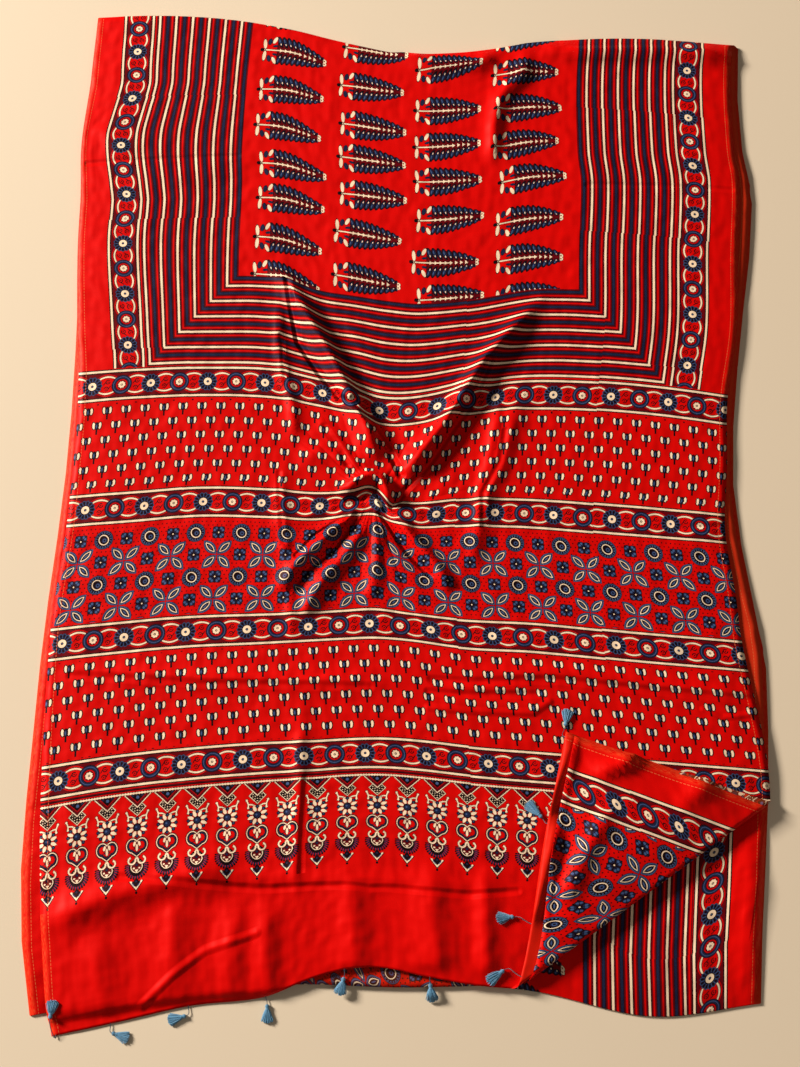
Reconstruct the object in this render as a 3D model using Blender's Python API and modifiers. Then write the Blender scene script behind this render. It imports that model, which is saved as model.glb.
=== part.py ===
"""An ajrakh saree, folded in four layers by one back-and-forth section and laid flat.

The tasselled end lies on top, face up. From there the cloth runs over the top fold to the bottom
layer, back over the lower fold to the second layer, and over an inner top fold to the third layer,
whose end is free. The lower right corner of the two upper layers is turned up and over.
X runs across the cloth and Y towards the top fold. Tables and sizes are in millimetres.
"""

import bisect
import math

import bmesh
import bpy
from mathutils import Matrix, Vector

MM = 0.001
MIDDLE = (-1.6, 0.2)  # of the whole part in the tables, brought to the origin

# Cloth
THICK = 1.2
PITCH = 2.5  # from the middle of one layer to the middle of the next
CLEAR = 0.3  # between a tassel and the cloth
BOTTOM, SECOND, THIRD, FIRST = (THICK / 2 + PITCH * n for n in range(4))  # heights of the layers
INNER_BEND = PITCH / 2
OUTER_BEND = PITCH * 3 / 2
FLAP_BEND = 4.0  # of the first layer where the corner turns up
HEM_FALL = 14.0  # length over which the hem comes down from the layers to the floor
HEM_LOW = 0.9  # height of the hem's middle on the floor

# Mesh
COLUMNS = 20
HEM_ROWS = (0, 12, 24, 38)  # lengths from the hem, close together where it comes down
FIRST_ROWS = 30
HIDDEN_ROWS = {"bottom": 9, "second": 11, "third": 13}
BEND_ROWS = 4
FLAP_CUTS = 6
FINE_FROM, FINE_TO = (-230, -280), (230, 360)  # corners of the creased patch, which has a finer mesh
FINE_MARGIN = 30  # by which the finer mesh of the turned-up corner reaches past its fold
FINE_CUTS = {"first": 1, "third": 3}

# Side edges of the layers, at places up the cloth
SIDE_COLUMNS = ("up", "first_left", "under_left", "first_right", "third_right", "under_right")
SIDES = (
    (-845, -520, -540, 523, 519, 520),
    (-790, -532, -562, 527, 523, 514),
    (-600, -551, -581, 539, 535, 533),
    (-450, -557, -577, 544, 544, 547),
    (-260, -557, -570, 516, 548, 552),
    (-190, -553, -565, 511, 536, 538),
    (-80, -542, -556, 500, 520, 524),
    (30, -537, -549, 509, 517, 519),
    (140, -535, -546, 516, 528, 530),
    (265, -544, -546, 539, 545, 547),
    (400, -549, -548, 548, 567, 569),
    (530, -550, -549, 558, 578, 580),
    (590, -551, -549, 553, 567, 569),
    (720, -545, -543, 554, 565, 567),
    (850, -537, -535, 566, 577, 579),
)

# Heights up the plan of the hem, of five printed lines, of the folds and of the free end, at sections
# across the cloth. The lines sag and arch towards the pinch at 0.47.
LAY_COLUMNS = ("across", "hem", "line_1", "line_2", "line_3", "line_4", "line_5", "top", "end", "turn")
LAY = (
    (0.00, -843, -498, -289, -73, 136, 347, 852, -800, -814),
    (0.10, -822, -480, -277, -65, 144, 350, 856, -788, -797),
    (0.20, -800, -467, -267, -56, 148, 353, 849, -776, -783),
    (0.30, -788, -458, -262, -58, 144, 351, 829, -771, -775),
    (0.37, -761, -454, -258, -62, 130, 327, 808, -770, -768),
    (0.42, -748, -450, -255, -58, 117, 318, 794, -772, -766),
    (0.47, -747, -449, -253, -55, 99, 309, 782, -774, -766),
    (0.52, -758, -453, -257, -74, 99, 304, 780, -774, -767),
    (0.60, -772, -463, -269, -72, 117, 312, 786, -772, -770),
    (0.70, -780, -472, -275, -74, 126, 330, 804, -768, -781),
    (0.85, -797, -486, -291, -87, 119, 322, 810, -784, -815),
    (1.00, -803, -499, -305, -100, 99, 303, 797, -790, -797),
)
LINES = (0, 345, 555, 771, 981, 1187)  # lengths along the cloth from the hem to each of the lines

# Folds and creases raised in the first layer: height, half width and path
CREASES = (
    (13, 17, ((-222, 388), (-190, 320), (-157, 262), (-100, 185), (-55, 90), (-42, 0))),
    (12, 16, ((238, 328), (186, 278), (123, 206), (68, 109), (10, 20), (-35, -15))),
    (8, 14, ((190, 190), (142, 56), (108, -40), (95, -150))),
    (11, 18, ((-46, -10), (-90, -90), (-150, -160), (-205, -250), (-240, -320))),
    (9, 16, ((-36, -15), (-14, -87), (25, -160), (50, -220))),
    (7, 14, ((-208, 360), (-204, 190), (-189, -29), (-169, -256))),
    (6, 15, ((-40, 0), (-110, 40), (-180, 50))),
    (6, 12, ((-552, -306), (-322, -322), (-14, -334))),
    (6, 13, ((48, -288), (232, -305), (370, -333), (506, -371))),
    (4, 11, ((-522, -597), (-267, -612), (-14, -626), (120, -630))),
    (5, 12, ((-390, -790), (-307, -742), (-223, -700))),
    (9, 18, ((200, 778), (300, 776), (401, 778), (550, 770))),
    (7, 17, ((228, 790), (222, 754), (180, 690), (160, 620), (145, 560))),
    (6, 20, ((-60, 745), (30, 725), (72, 720), (158, 736))),
    (5, 20, ((-160, -620), (-162, -700), (-157, -757))),
    (5, 22, ((-345, -640), (-349, -740), (-349, -790))),
)
CREASE_BLEND = 3.0

# The turned-up corner: its fold runs from the hem to the right edge
FOLD_FROM, FOLD_TO = Vector((154, -771)), Vector((540, -502))
FLAP_CREASE = (5, 18, ((290, -472), (334, -446), (378, -430)))
FLAP_GAP = 3.0  # by which the third layer stands looser over the first where both are turned up

# Tassels: place across the hem, neck and skirt end of each
TASSEL_COLUMNS = ("across", "neck_x", "neck_y", "end_x", "end_y", "lies_on")
TASSELS = (
    (0.006, -523, -818, -519, -791, FIRST),
    (0.085, -433, -838, -407, -846, BOTTOM),
    (0.196, -326, -814, -353, -821, BOTTOM),
    (0.304, -208, -798, -207, -825, BOTTOM),
    (0.414, -96, -760, -103, -786, THIRD),
    (0.531, 30, -769, 34, -796, THIRD),
    (0.668, 138, -750, 113, -768, FIRST),
    (0.738, 154, -674, 127, -676, FIRST),
    (0.872, 199, -529, 176, -506, FIRST),
    (0.992, 238, -391, 243, -364, FIRST),
)
LOCK_COLUMNS = 5  # side by side, in two levels
THREAD = 0.7  # radius
THREAD_STEPS = 3
HEAD = ((0.0, 1.3, 1.3), (2.2, 3.0, 2.4), (5.4, 2.5, 2.0), (8.0, 3.6, 2.5))
# Sections of a head from its neck: how far along, half width and half height
SKIRT = ((0.35, 2.3, 1.8), (1.0, 4.3, 3.7))
# Steps of the locks: share of their length, pitch from lock to lock and width of one
LOCK_GAP = 0.35
OVERHANG = 9.0  # how far locks stick out past the edge of the layers before they come down

CLOTH_RED = (0.60, 0.005, 0.004, 1)
TASSEL_BLUE = (0.06, 0.22, 0.38, 1)


def column(table, names, name):
    place = names.index(name)
    return [row[place] for row in table]


def smooth_at(xs, ys, x):
    """The value at x of a smooth curve through the points, held level past both ends."""
    if x <= xs[0]:
        return ys[0]
    if x >= xs[-1]:
        return ys[-1]
    i = bisect.bisect_right(xs, x) - 1

    def slope(k):
        low, high = max(k - 1, 0), min(k + 1, len(xs) - 1)
        return (ys[high] - ys[low]) / (xs[high] - xs[low])

    span = xs[i + 1] - xs[i]
    t = (x - xs[i]) / span
    rise = ys[i + 1] - ys[i]
    start, finish = slope(i) * span, slope(i + 1) * span
    return ys[i] + t * start + t * t * (3 * rise - 2 * start - finish) + t**3 * (start + finish - 2 * rise)


def ease(t):
    t = min(max(t, 0.0), 1.0)
    return t * t * (3 - 2 * t)


SIDE_UP = column(SIDES, SIDE_COLUMNS, "up")
SIDE = {name: column(SIDES, SIDE_COLUMNS, name) for name in SIDE_COLUMNS[1:]}
ACROSS = column(LAY, LAY_COLUMNS, "across")
LAID = {name: column(LAY, LAY_COLUMNS, name) for name in LAY_COLUMNS[1:]}


def laid(name, u):
    return smooth_at(ACROSS, LAID[name], u)


def across_to_x(u, y, left, right, inset=0.0):
    start = smooth_at(SIDE_UP, SIDE[left], y) + inset
    finish = smooth_at(SIDE_UP, SIDE[right], y) - inset
    return start + (finish - start) * u


def first_layer(u, length):
    """Plan position on the first layer, at a length from the hem."""
    top = laid("top", u) - OUTER_BEND
    straight = LINES[-1] + top - laid("line_5", u)
    names = ("hem", "line_1", "line_2", "line_3", "line_4", "line_5")
    lengths = LINES + (straight,)
    y = smooth_at(lengths, [laid(name, u) for name in names] + [top], length * straight)
    return across_to_x(u, y, "first_left", "first_right"), y


def shares_along_first():
    """Rows of the first layer as shares of its length, from the hem to the top fold."""
    whole = LINES[-1] + 480.0
    close = [length / whole for length in HEM_ROWS]
    step = (1.0 - close[-1]) / FIRST_ROWS
    return close + [close[-1] + step * (n + 1) for n in range(FIRST_ROWS)]


FIRST_SHARES = shares_along_first()
STAGES = (
    ("first", len(FIRST_SHARES) - 1),
    ("outer bend", BEND_ROWS + 2),
    ("bottom", HIDDEN_ROWS["bottom"]),
    ("lower bend", BEND_ROWS),
    ("second", HIDDEN_ROWS["second"]),
    ("inner bend", BEND_ROWS),
    ("third", HIDDEN_ROWS["third"]),
)
ROWS = sum(count for _, count in STAGES)


def stage_of(row):
    for name, count in STAGES:
        if row <= count or name == "third":
            return name, row / count
        row -= count


def bent(y, outward, radius, middle, share):
    """Round a fold from its upper side to its lower one, or back with a negative radius."""
    angle = math.pi * (0.5 - share)
    return y + outward * abs(radius) * math.cos(angle), middle + radius * math.sin(angle)


def place(u, row):
    """Where a point of the strip lies before creases, as x, y and height."""
    stage, share = stage_of(row)
    top = laid("top", u) - OUTER_BEND
    turn = laid("turn", u) + INNER_BEND
    if stage == "first":
        spot = share * (len(FIRST_SHARES) - 1)
        low = min(int(spot), len(FIRST_SHARES) - 2)
        length = FIRST_SHARES[low] + (FIRST_SHARES[low + 1] - FIRST_SHARES[low]) * (spot - low)
        x, y = first_layer(u, length)
        return x, y, FIRST
    if stage == "outer bend":
        y, z = bent(top, 1, OUTER_BEND, (FIRST + BOTTOM) / 2, share)
        left = across_to_x(u, top, "first_left", "first_right")
        right = across_to_x(u, top, "under_left", "under_right")
        return left + (right - left) * share, y, z
    if stage == "bottom":
        y = top + (turn - top) * share
        return across_to_x(u, y, "under_left", "under_right"), y, BOTTOM
    if stage == "lower bend":
        y, z = bent(turn, -1, -INNER_BEND, (BOTTOM + SECOND) / 2, share)
        return across_to_x(u, turn, "under_left", "under_right", inset=3 * share), y, z
    if stage == "second":
        y = turn + (top - turn) * share
        return across_to_x(u, y, "under_left", "under_right", inset=3), y, SECOND
    if stage == "inner bend":
        y, z = bent(top, 1, -INNER_BEND, (SECOND + THIRD) / 2, share)
        return across_to_x(u, top, "under_left", "third_right", inset=3), y, z
    y = top + (laid("end", u) - top) * share
    x = across_to_x(u, y, "first_left", "third_right", inset=3)
    return x, y, THIRD


def stack_edge(x):
    """How far down the plan the lower layers reach at x."""
    left, right = SIDE["first_left"][1], SIDE["first_right"][1]
    u = min(max((x - left) / (right - left), 0.0), 1.0)
    return min(laid("turn", u), laid("end", u))


def fallen(x, y, height, low):
    """A height that comes down past the edge of the lower layers."""
    return height + (low - height) * ease((stack_edge(x) - 1 - y) / HEM_FALL)


def ridge(crease, x, y):
    """Height of one crease at a point: round across, fading out at both ends."""
    high, wide, path = crease
    nearest, spot, walked = None, 0.0, 0.0
    for (x0, y0), (x1, y1) in zip(path, path[1:]):
        dx, dy = x1 - x0, y1 - y0
        length = math.hypot(dx, dy)
        t = min(max(((x - x0) * dx + (y - y0) * dy) / length**2, 0.0), 1.0)
        away = math.hypot(x - x0 - t * dx, y - y0 - t * dy)
        if nearest is None or away < nearest:
            nearest, spot = away, walked + t * length
        walked += length
    fade = ease(spot / (0.3 * walked)) * ease((walked - spot) / (0.15 * walked))
    return high * fade * math.exp(-((nearest / wide) ** 2))


def creased(x, y):
    total = sum(ridge(crease, x, y) ** CREASE_BLEND for crease in CREASES)
    return total ** (1 / CREASE_BLEND)


FOLD_ALONG = (FOLD_TO - FOLD_FROM).normalized()
FOLD_OUT = Vector((FOLD_ALONG.y, -FOLD_ALONG.x))  # towards the corner before it is turned up


def mirrored(point):
    """A plan point carried over the corner's fold."""
    return point - FOLD_OUT * (2 * (point - FOLD_FROM).dot(FOLD_OUT))


def flap_lift(x, y, beyond):
    """Looseness of the turned-up corner: a hollow along its free end and a full middle."""
    corner = mirrored(Vector(first_layer(1.0, 0.0)))
    edge = (corner - FOLD_FROM).normalized()
    inside = abs(edge.x * (y - FOLD_FROM.y) - edge.y * (x - FOLD_FROM.x))
    hollow = -3.5 * math.exp(-(((inside - 32) / 14) ** 2))
    full = 9.0 * ease((inside - 45) / 70)
    return (hollow + full + ridge(FLAP_CREASE, x, y)) * ease(beyond / 70)


def turned_up(x, y, z):
    """Carries a point past the corner's fold round the fold and over."""
    beyond = (Vector((x, y)) - FOLD_FROM).dot(FOLD_OUT)
    if beyond <= 0:
        return x, y, z
    axis = FIRST + FLAP_BEND
    radius = axis - z
    angle = min(beyond / radius, math.pi)
    after = max(beyond - math.pi * radius, 0.0)
    spot = Vector((x, y)) + FOLD_OUT * (radius * math.sin(angle) - after - beyond)
    lift = flap_lift(spot.x, spot.y, after)
    if z < FIRST:
        lift += FLAP_GAP * ease(after / 30)
    return spot.x, spot.y, axis - radius * math.cos(angle) + lift


def in_stage(row, name):
    return stage_of(row)[0] == name


def settled(x, y, z, row):
    """The final position of a point: creases and the falling hem, or the turned-up corner."""
    if in_stage(row, "first"):
        beyond = (Vector((x, y)) - FOLD_FROM).dot(FOLD_OUT)
        if beyond <= 0:
            hem = 1 - ease((y - laid("hem", 0.5) + 40) / 60)
            z = fallen(x, y, FIRST, HEM_LOW) + creased(x, y) * (1 - 0.6 * hem) * ease(-beyond / 40)
            return x, y, z
    if in_stage(row, "first") or in_stage(row, "third"):
        return turned_up(x, y, z)
    return x, y, z


def new_collection(name):
    made = bpy.data.collections.new(name)
    bpy.context.scene.collection.children.link(made)
    return made


def new_material(name, colour, roughness):
    made = bpy.data.materials.new(name)
    made.use_nodes = True
    shader = made.node_tree.nodes["Principled BSDF"]
    shader.inputs["Base Color"].default_value = colour
    shader.inputs["Roughness"].default_value = roughness
    return made


def new_object(name, bm, material, collection):
    centred = Matrix.Translation((-MIDDLE[0], -MIDDLE[1], 0))
    bmesh.ops.transform(bm, matrix=Matrix.Scale(MM, 4) @ centred, verts=bm.verts)
    mesh = bpy.data.meshes.new(name)
    bm.to_mesh(mesh)
    bm.free()
    mesh.shade_smooth()
    mesh.materials.append(material)
    made = bpy.data.objects.new(name, mesh)
    collection.objects.link(made)
    return made


def strip_mesh():
    """The cloth as a flat grid, x across from 0 to 1 and y in rows, finer at the creases and the corner."""
    bm = bmesh.new()
    bmesh.ops.create_grid(bm, x_segments=COLUMNS, y_segments=ROWS, size=0.5)
    for vert in bm.verts:
        vert.co = Vector((vert.co.x + 0.5, (vert.co.y + 0.5) * ROWS, 0))

    def needs_detail(vert, stage):
        x, y, _ = place(vert.co.x, vert.co.y)
        turned = (Vector((x, y)) - FOLD_FROM).dot(FOLD_OUT) > -FINE_MARGIN
        creased_patch = FINE_FROM[0] < x < FINE_TO[0] and FINE_FROM[1] < y < FINE_TO[1]
        return in_stage(vert.co.y, stage) and (turned or stage == "first" and creased_patch)

    for stage, cuts in FINE_CUTS.items():
        patch = [edge for edge in bm.edges if all(needs_detail(vert, stage) for vert in edge.verts)]
        bmesh.ops.subdivide_edges(bm, edges=patch, cuts=cuts, use_grid_fill=True)
    return bm


def cut_for_flap(bm, rows, stage, height):
    """Edges across one layer where it bends round the corner's fold."""
    radius = FIRST + FLAP_BEND - height
    for n in range(FLAP_CUTS + 1):
        near = [
            face
            for face in bm.faces
            if all(in_stage(vert[rows], stage) for vert in face.verts)
            and max((vert.co.xy - FOLD_FROM).dot(FOLD_OUT) for vert in face.verts) > -1
        ]
        parts = {item for face in near for item in (face, *face.edges, *face.verts)}
        spot = FOLD_FROM + FOLD_OUT * (math.pi * radius * n / FLAP_CUTS)
        bmesh.ops.bisect_plane(
            bm,
            geom=list(parts),
            dist=0.1,
            plane_co=(spot.x, spot.y, 0),
            plane_no=(FOLD_OUT.x, FOLD_OUT.y, 0),
        )


def make_cloth(material, collection):
    bm = strip_mesh()
    rows = bm.verts.layers.float.new("row")
    for vert in bm.verts:
        vert[rows] = vert.co.y
        vert.co = place(vert.co.x, vert.co.y)
    cut_for_flap(bm, rows, "first", FIRST)
    cut_for_flap(bm, rows, "third", THIRD)
    for vert in bm.verts:
        vert.co = settled(*vert.co, vert[rows])
    bmesh.ops.recalc_face_normals(bm, faces=bm.faces)
    cloth = new_object("cloth", bm, material, collection)
    thickness = cloth.modifiers.new("thickness", "SOLIDIFY")
    thickness.thickness = THICK * MM
    thickness.offset = 0
    return cloth


def hem_point(u):
    """The middle of the hem's edge, straight from column to column, and the way out from it."""
    left = math.floor(u * COLUMNS)
    share = u * COLUMNS - left

    def between(row):
        ends = [Vector(place((left + n) / COLUMNS, row)) for n in (0, 1)]
        return Vector(settled(*ends[0].lerp(ends[1], share), row))

    edge = between(0)
    return edge, (edge - between(1)).normalized()


def thread_path(start, out, neck, along, resting):
    """Sections of the thread on a curve that leaves the hem and meets the neck in line."""
    reach = (neck - start).length / 2
    points = (start, start + out * reach, neck - along * reach, neck)
    stations = [start]
    for n in range(1, THREAD_STEPS):
        t = n / THREAD_STEPS
        weights = ((1 - t) ** 3, 3 * t * (1 - t) ** 2, 3 * t * t * (1 - t), t**3)
        station = sum((p * w for p, w in zip(points, weights)), Vector())
        station.z = max(station.z, resting(station) + THREAD)
        stations.append(station)
    ways = [out] + [(b - a).normalized() for a, b in zip(stations, stations[2:] + [neck])]
    return [(station, way, THREAD, THREAD) for station, way in zip(stations, ways)]


def section_frames(sections):
    """Frame of each section: its side, the way along and its up, with its half sizes."""
    frames, side = [], None
    for centre, along, half_width, half_height in sections:
        across = along.cross(Vector((0, 0, 1))).normalized()
        side = -across if side and side.dot(across) < 0 else across
        up = side.cross(along)
        frame = Matrix((side * half_width, along, up * half_height)).transposed().to_4x4()
        frame.translation = centre
        frames.append(frame)
    return frames


def make_tassel(number, row, material, collection):
    spec = dict(zip(TASSEL_COLUMNS, row))
    ground = spec["lies_on"] + THICK / 2 + CLEAR if spec["lies_on"] != BOTTOM else 0.05
    neck = Vector((spec["neck_x"], spec["neck_y"], 0))
    end = Vector((spec["end_x"], spec["end_y"], 0))
    along = (end - neck).normalized()

    def resting(point):
        """The level that this tassel lies on, which comes down past the edge of the layers."""
        return ground if spec["lies_on"] != THIRD else fallen(point.x, point.y + OVERHANG, ground, 0.05)

    widest = max(half for _, _, half in HEAD)
    neck.z = resting(neck) + widest
    edge, out = hem_point(spec["across"])
    sections = thread_path(edge + out * CLEAR, out, neck, along, resting)
    sections += [(neck + along * far, along, wide, high) for far, wide, high in HEAD]
    frames = section_frames(sections)

    bm = bmesh.new()
    bmesh.ops.create_grid(bm, x_segments=LOCK_COLUMNS, y_segments=2, size=1.0)
    for vert in bm.verts:
        x, z = vert.co.xy
        vert.co = Vector((x * math.sqrt(1 - z * z / 2), 0, z * math.sqrt(1 - x * x / 2)))
    bmesh.ops.transform(bm, matrix=frames[0], verts=bm.verts)
    tip = bm.faces[:]
    for before, after in zip(frames, frames[1:]):
        edges = {edge for face in tip for edge in face.edges}
        made = bmesh.ops.extrude_face_region(bm, geom=[*tip, *edges])
        tip = [item for item in made["geom"] if isinstance(item, bmesh.types.BMFace)]
        ring = [item for item in made["geom"] if isinstance(item, bmesh.types.BMVert)]
        bmesh.ops.transform(bm, matrix=after @ before.inverted(), verts=ring)
    bmesh.ops.inset_individual(bm, faces=tip, thickness=LOCK_GAP / 2)

    root, side = frames[-1].translation.copy(), frames[-1].col[0].xyz.normalized()
    length = (end - neck.xy.to_3d()).length - HEAD[-1][0]
    upper_level = HEAD[-1][2] + LOCK_GAP
    pitch_before = 2 * HEAD[-1][1] / LOCK_COLUMNS
    for share, pitch, width in SKIRT:
        tip = bmesh.ops.extrude_discrete_faces(bm, faces=tip)["faces"]
        middle = sum(face.calc_center_median().z for face in tip) / len(tip)
        for face in tip:
            centre = face.calc_center_median()
            sideways = round((centre - root).dot(side) / pitch_before) * pitch
            target = root + along * (share * length) + side * sideways
            reach = [vert.co.dot(side) for vert in face.verts]
            widened = Matrix.Scale(width / (max(reach) - min(reach)), 4, side)
            moved = Matrix.Translation(target) @ widened @ Matrix.Translation(-centre)
            bmesh.ops.transform(bm, matrix=moved, verts=face.verts)
            level = resting(target) + (upper_level if centre.z > middle else 0)
            lowest = min(vert.co.z for vert in face.verts)
            bmesh.ops.translate(bm, vec=(0, 0, level - lowest), verts=face.verts)
        pitch_before = pitch
    bmesh.ops.recalc_face_normals(bm, faces=bm.faces)
    return new_object(f"tassel_{number}", bm, material, collection)


def main():
    for existing in list(bpy.data.objects):
        bpy.data.objects.remove(existing, do_unlink=True)
    collection = new_collection("ajrakh_cloth")
    printed = new_material("printed silk", CLOTH_RED, 0.45)
    thread = new_material("tassel thread", TASSEL_BLUE, 0.8)
    make_cloth(printed, collection)
    for number, row in enumerate(TASSELS, 1):
        make_tassel(number, row, thread, collection)


main()
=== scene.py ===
import bisect
import functools
import math
import random
import bmesh
import bpy
from mathutils import Matrix, Vector, noise


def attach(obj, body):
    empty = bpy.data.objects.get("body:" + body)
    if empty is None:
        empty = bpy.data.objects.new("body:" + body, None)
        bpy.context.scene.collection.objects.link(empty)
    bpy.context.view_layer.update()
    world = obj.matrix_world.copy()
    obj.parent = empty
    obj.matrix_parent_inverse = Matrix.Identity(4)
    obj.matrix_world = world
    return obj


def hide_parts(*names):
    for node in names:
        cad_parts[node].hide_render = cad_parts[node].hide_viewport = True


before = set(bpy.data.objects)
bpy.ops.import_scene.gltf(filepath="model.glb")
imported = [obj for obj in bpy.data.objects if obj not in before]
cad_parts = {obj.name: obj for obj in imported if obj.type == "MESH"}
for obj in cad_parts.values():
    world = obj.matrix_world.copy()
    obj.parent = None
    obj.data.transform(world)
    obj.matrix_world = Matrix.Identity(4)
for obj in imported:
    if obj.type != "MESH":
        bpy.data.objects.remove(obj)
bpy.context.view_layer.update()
mm = 0.001
print("frame loaded:", len(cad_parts), "nodes")


# The cloth, in millimetres, on the plan that its solid was made on; the plan's middle comes to the origin
cloth = {
    "middle": (-1.6, 0.2),
    "width": 1106.0,  # from selvedge to selvedge
    "thick": 0.5,  # modal silk with its hems, drawn about twice as thick as it is
    "levels": {"bottom": 0.6, "second": 3.1, "third": 5.6, "first": 8.1},
    "innerBend": 1.25,
    "outerBend": 3.75,
    "inset": 3,  # of the layers inside the pack
    "hemFall": 14.0,  # length over which the hem comes down from the layers to the floor
    "hemLow": 0.9,
    "loose": 2.0,  # how far the top layer lies above the next one
    "ripple": 1.8,  # height of the soft unevenness all over
    "rippleSize": 70.0,
    "hemCalm": 0.6,  # share by which the top layer lies flatter at the hem
    "hemReach": (-40.0, 20.0),  # from the hem, where that starts and is over
    "edgeCalm": 0.7,  # and at the side edges
    "edgeReach": 50.0,
    "foldCalm": 40.0,  # length over which it lies flatter towards the corner's fold
}

# Side edges of the layers, at places up the plan
sides = {
    "up": (-845, -790, -600, -450, -260, -190, -80, 30, 140, 265, 400, 530, 590, 720, 850),
    "firstLeft": (-520, -532, -551, -557, -557, -553, -542, -537, -535, -544, -549, -550, -551, -545, -537),
    "underLeft": (-540, -562, -581, -577, -570, -565, -556, -549, -546, -546, -548, -549, -549, -543, -535),
    "firstRight": (523, 527, 539, 544, 516, 511, 500, 509, 516, 539, 548, 558, 553, 554, 566),
    "thirdRight": (528, 532, 541, 544, 548, 536, 520, 517, 528, 545, 567, 578, 567, 565, 577),
    "underRight": (520, 514, 533, 547, 552, 538, 524, 519, 530, 547, 569, 580, 569, 567, 579),
}
# How far up the plan the hem, five printed lines, the folds and the free end lie, across the cloth
laid = {
    "across": (0.0, 0.1, 0.2, 0.3, 0.37, 0.42, 0.47, 0.52, 0.6, 0.7, 0.85, 1.0),
    "hem": (-843, -822, -800, -788, -761, -748, -747, -758, -772, -780, -797, -803),
    "line1": (-498, -480, -467, -458, -454, -450, -449, -453, -463, -472, -486, -499),
    "line2": (-289, -277, -267, -262, -258, -255, -253, -257, -269, -275, -291, -305),
    "line3": (-73, -65, -56, -58, -62, -58, -55, -74, -72, -74, -87, -100),
    "line4": (136, 144, 148, 144, 130, 117, 99, 99, 117, 126, 119, 99),
    "line5": (347, 350, 353, 351, 327, 318, 309, 304, 312, 330, 322, 303),
    "top": (852, 856, 849, 829, 808, 794, 782, 780, 786, 804, 810, 797),
    "end": (-800, -788, -776, -771, -770, -772, -774, -774, -772, -770, -791, -797),
    "turn": (-814, -797, -783, -775, -768, -766, -766, -767, -770, -781, -815, -797),
}
printedLines = {"hem": 0, "line1": 345, "line2": 555, "line3": 771, "line4": 981, "line5": 1187}
bodyShare = 480  # nominal length from the last printed line to the top fold, for the mesh rows

# Creases of the top layer: height, half width, points of the path. Troughs cut into the ridges beside them
creases = (
    (21, 14, ((-238, 404), (-205, 352), (-170, 290), (-130, 220), (-100, 160), (-66, 85), (-45, 20))),
    (20, 13, ((238, 338), (186, 278), (123, 206), (85, 143), (50, 85), (12, 35), (-22, -8))),
    (7, 8, ((150, 165), (143, 105), (128, 35), (110, -25), (108, -85))),
    (5, 7, ((180, 135), (168, 92), (156, 45), (148, 5))),
    (8, 14, ((190, 190), (152, 56), (118, -40), (95, -150))),
    (13, 10, ((-66, -32), (-95, -60), (-135, -98), (-175, -133), (-205, -185))),
    (11, 10, ((-60, -45), (-76, -85), (-106, -130), (-142, -172), (-170, -225))),
    (7, 10, ((-54, -45), (-48, -90), (-52, -140), (-62, -200))),
    (13, 9, ((-34, -38), (-10, -70), (16, -106), (46, -142), (68, -182))),
    (22, 9, ((-118, -18), (-84, -3), (-62, 9), (-44, 2), (-35, -18), (-28, -44))),
    (7, 8, ((-214, 352), (-212, 250), (-203, 190), (-186, 125), (-186, 60))),
    (5, 9, ((-188, 60), (-205, -20), (-196, -100), (-188, -160), (-178, -260))),
    (6, 8, ((-155, 112), (-118, 72), (-98, 40), (-72, 24))),
    (6, 15, ((-40, 0), (-110, 40), (-180, 50))),
    (6, 11, ((-552, -304), (-322, -318), (-14, -326))),
    (6, 9, ((35, -310), (80, -310), (230, -310), (300, -318), (370, -327), (480, -342), (545, -344))),
    (4, 7, ((30, -331), (100, -332), (195, -333))),
    (4, 7, ((30, -354), (80, -356), (190, -362), (214, -346))),
    (4, 9, ((-522, -592), (-430, -607), (-310, -616), (-60, -621), (90, -631), (165, -628))),
    (13, 24, ((-660, -722), (-540, -680), (-430, -640), (-310, -612), (-240, -606))),
    (6, 10, ((-162, -330), (-166, -480), (-170, -600), (-170, -660))),
    (8, 17, ((-214, -640), (-211, -720), (-206, -800))),
    (9, 28, ((30, -580), (34, -680), (42, -760))),
    (8, 15, ((112, -590), (112, -690), (114, -765))),
    (8, 24, ((-345, -630), (-347, -740), (-349, -800))),
    (7, 20, ((-255, -640), (-262, -720), (-262, -800))),
    (7, 22, ((-90, -590), (-84, -680), (-80, -760))),
    (7, 18, ((-470, -690), (-450, -760), (-452, -820))),
    (15, 11, ((180, 784), (300, 776), (401, 778), (600, 770))),
    (11, 11, ((206, 812), (198, 735), (156, 690), (146, 640), (142, 560))),
    (10, 10, ((-40, 792), (-5, 772), (44, 750), (115, 752), (160, 776))),
    (4, 14, ((-470, 560), (-400, 540), (-300, 556))),
    (4, 12, ((-545, 640), (-505, 610), (-470, 575))),
    (4, 16, ((430, -60), (495, -110), (520, -180))),
)
troughs = (
    (10, 13, ((-160, 325), (-128, 268), (-98, 212), (-76, 160), (-52, 122), (-28, 85), (-12, 38))),
    (9, 10, ((158, 200), (122, 138), (96, 92), (64, 40), (24, -8), (-4, -34))),
    (3, 8, ((-78, -62), (-115, -112), (-158, -148), (-188, -196))),
    (8, 9, ((-96, -30), (-72, -32), (-56, -24))),
    (3, 9, ((-48, -58), (-26, -86), (0, -120), (26, -156))),
)
# How far the pinch draws the cloth up the plan, its middle, half width and half height
pinches = ((9, -62, -10, 20, 32), (-14, -29, -22, 14, 28))
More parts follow.
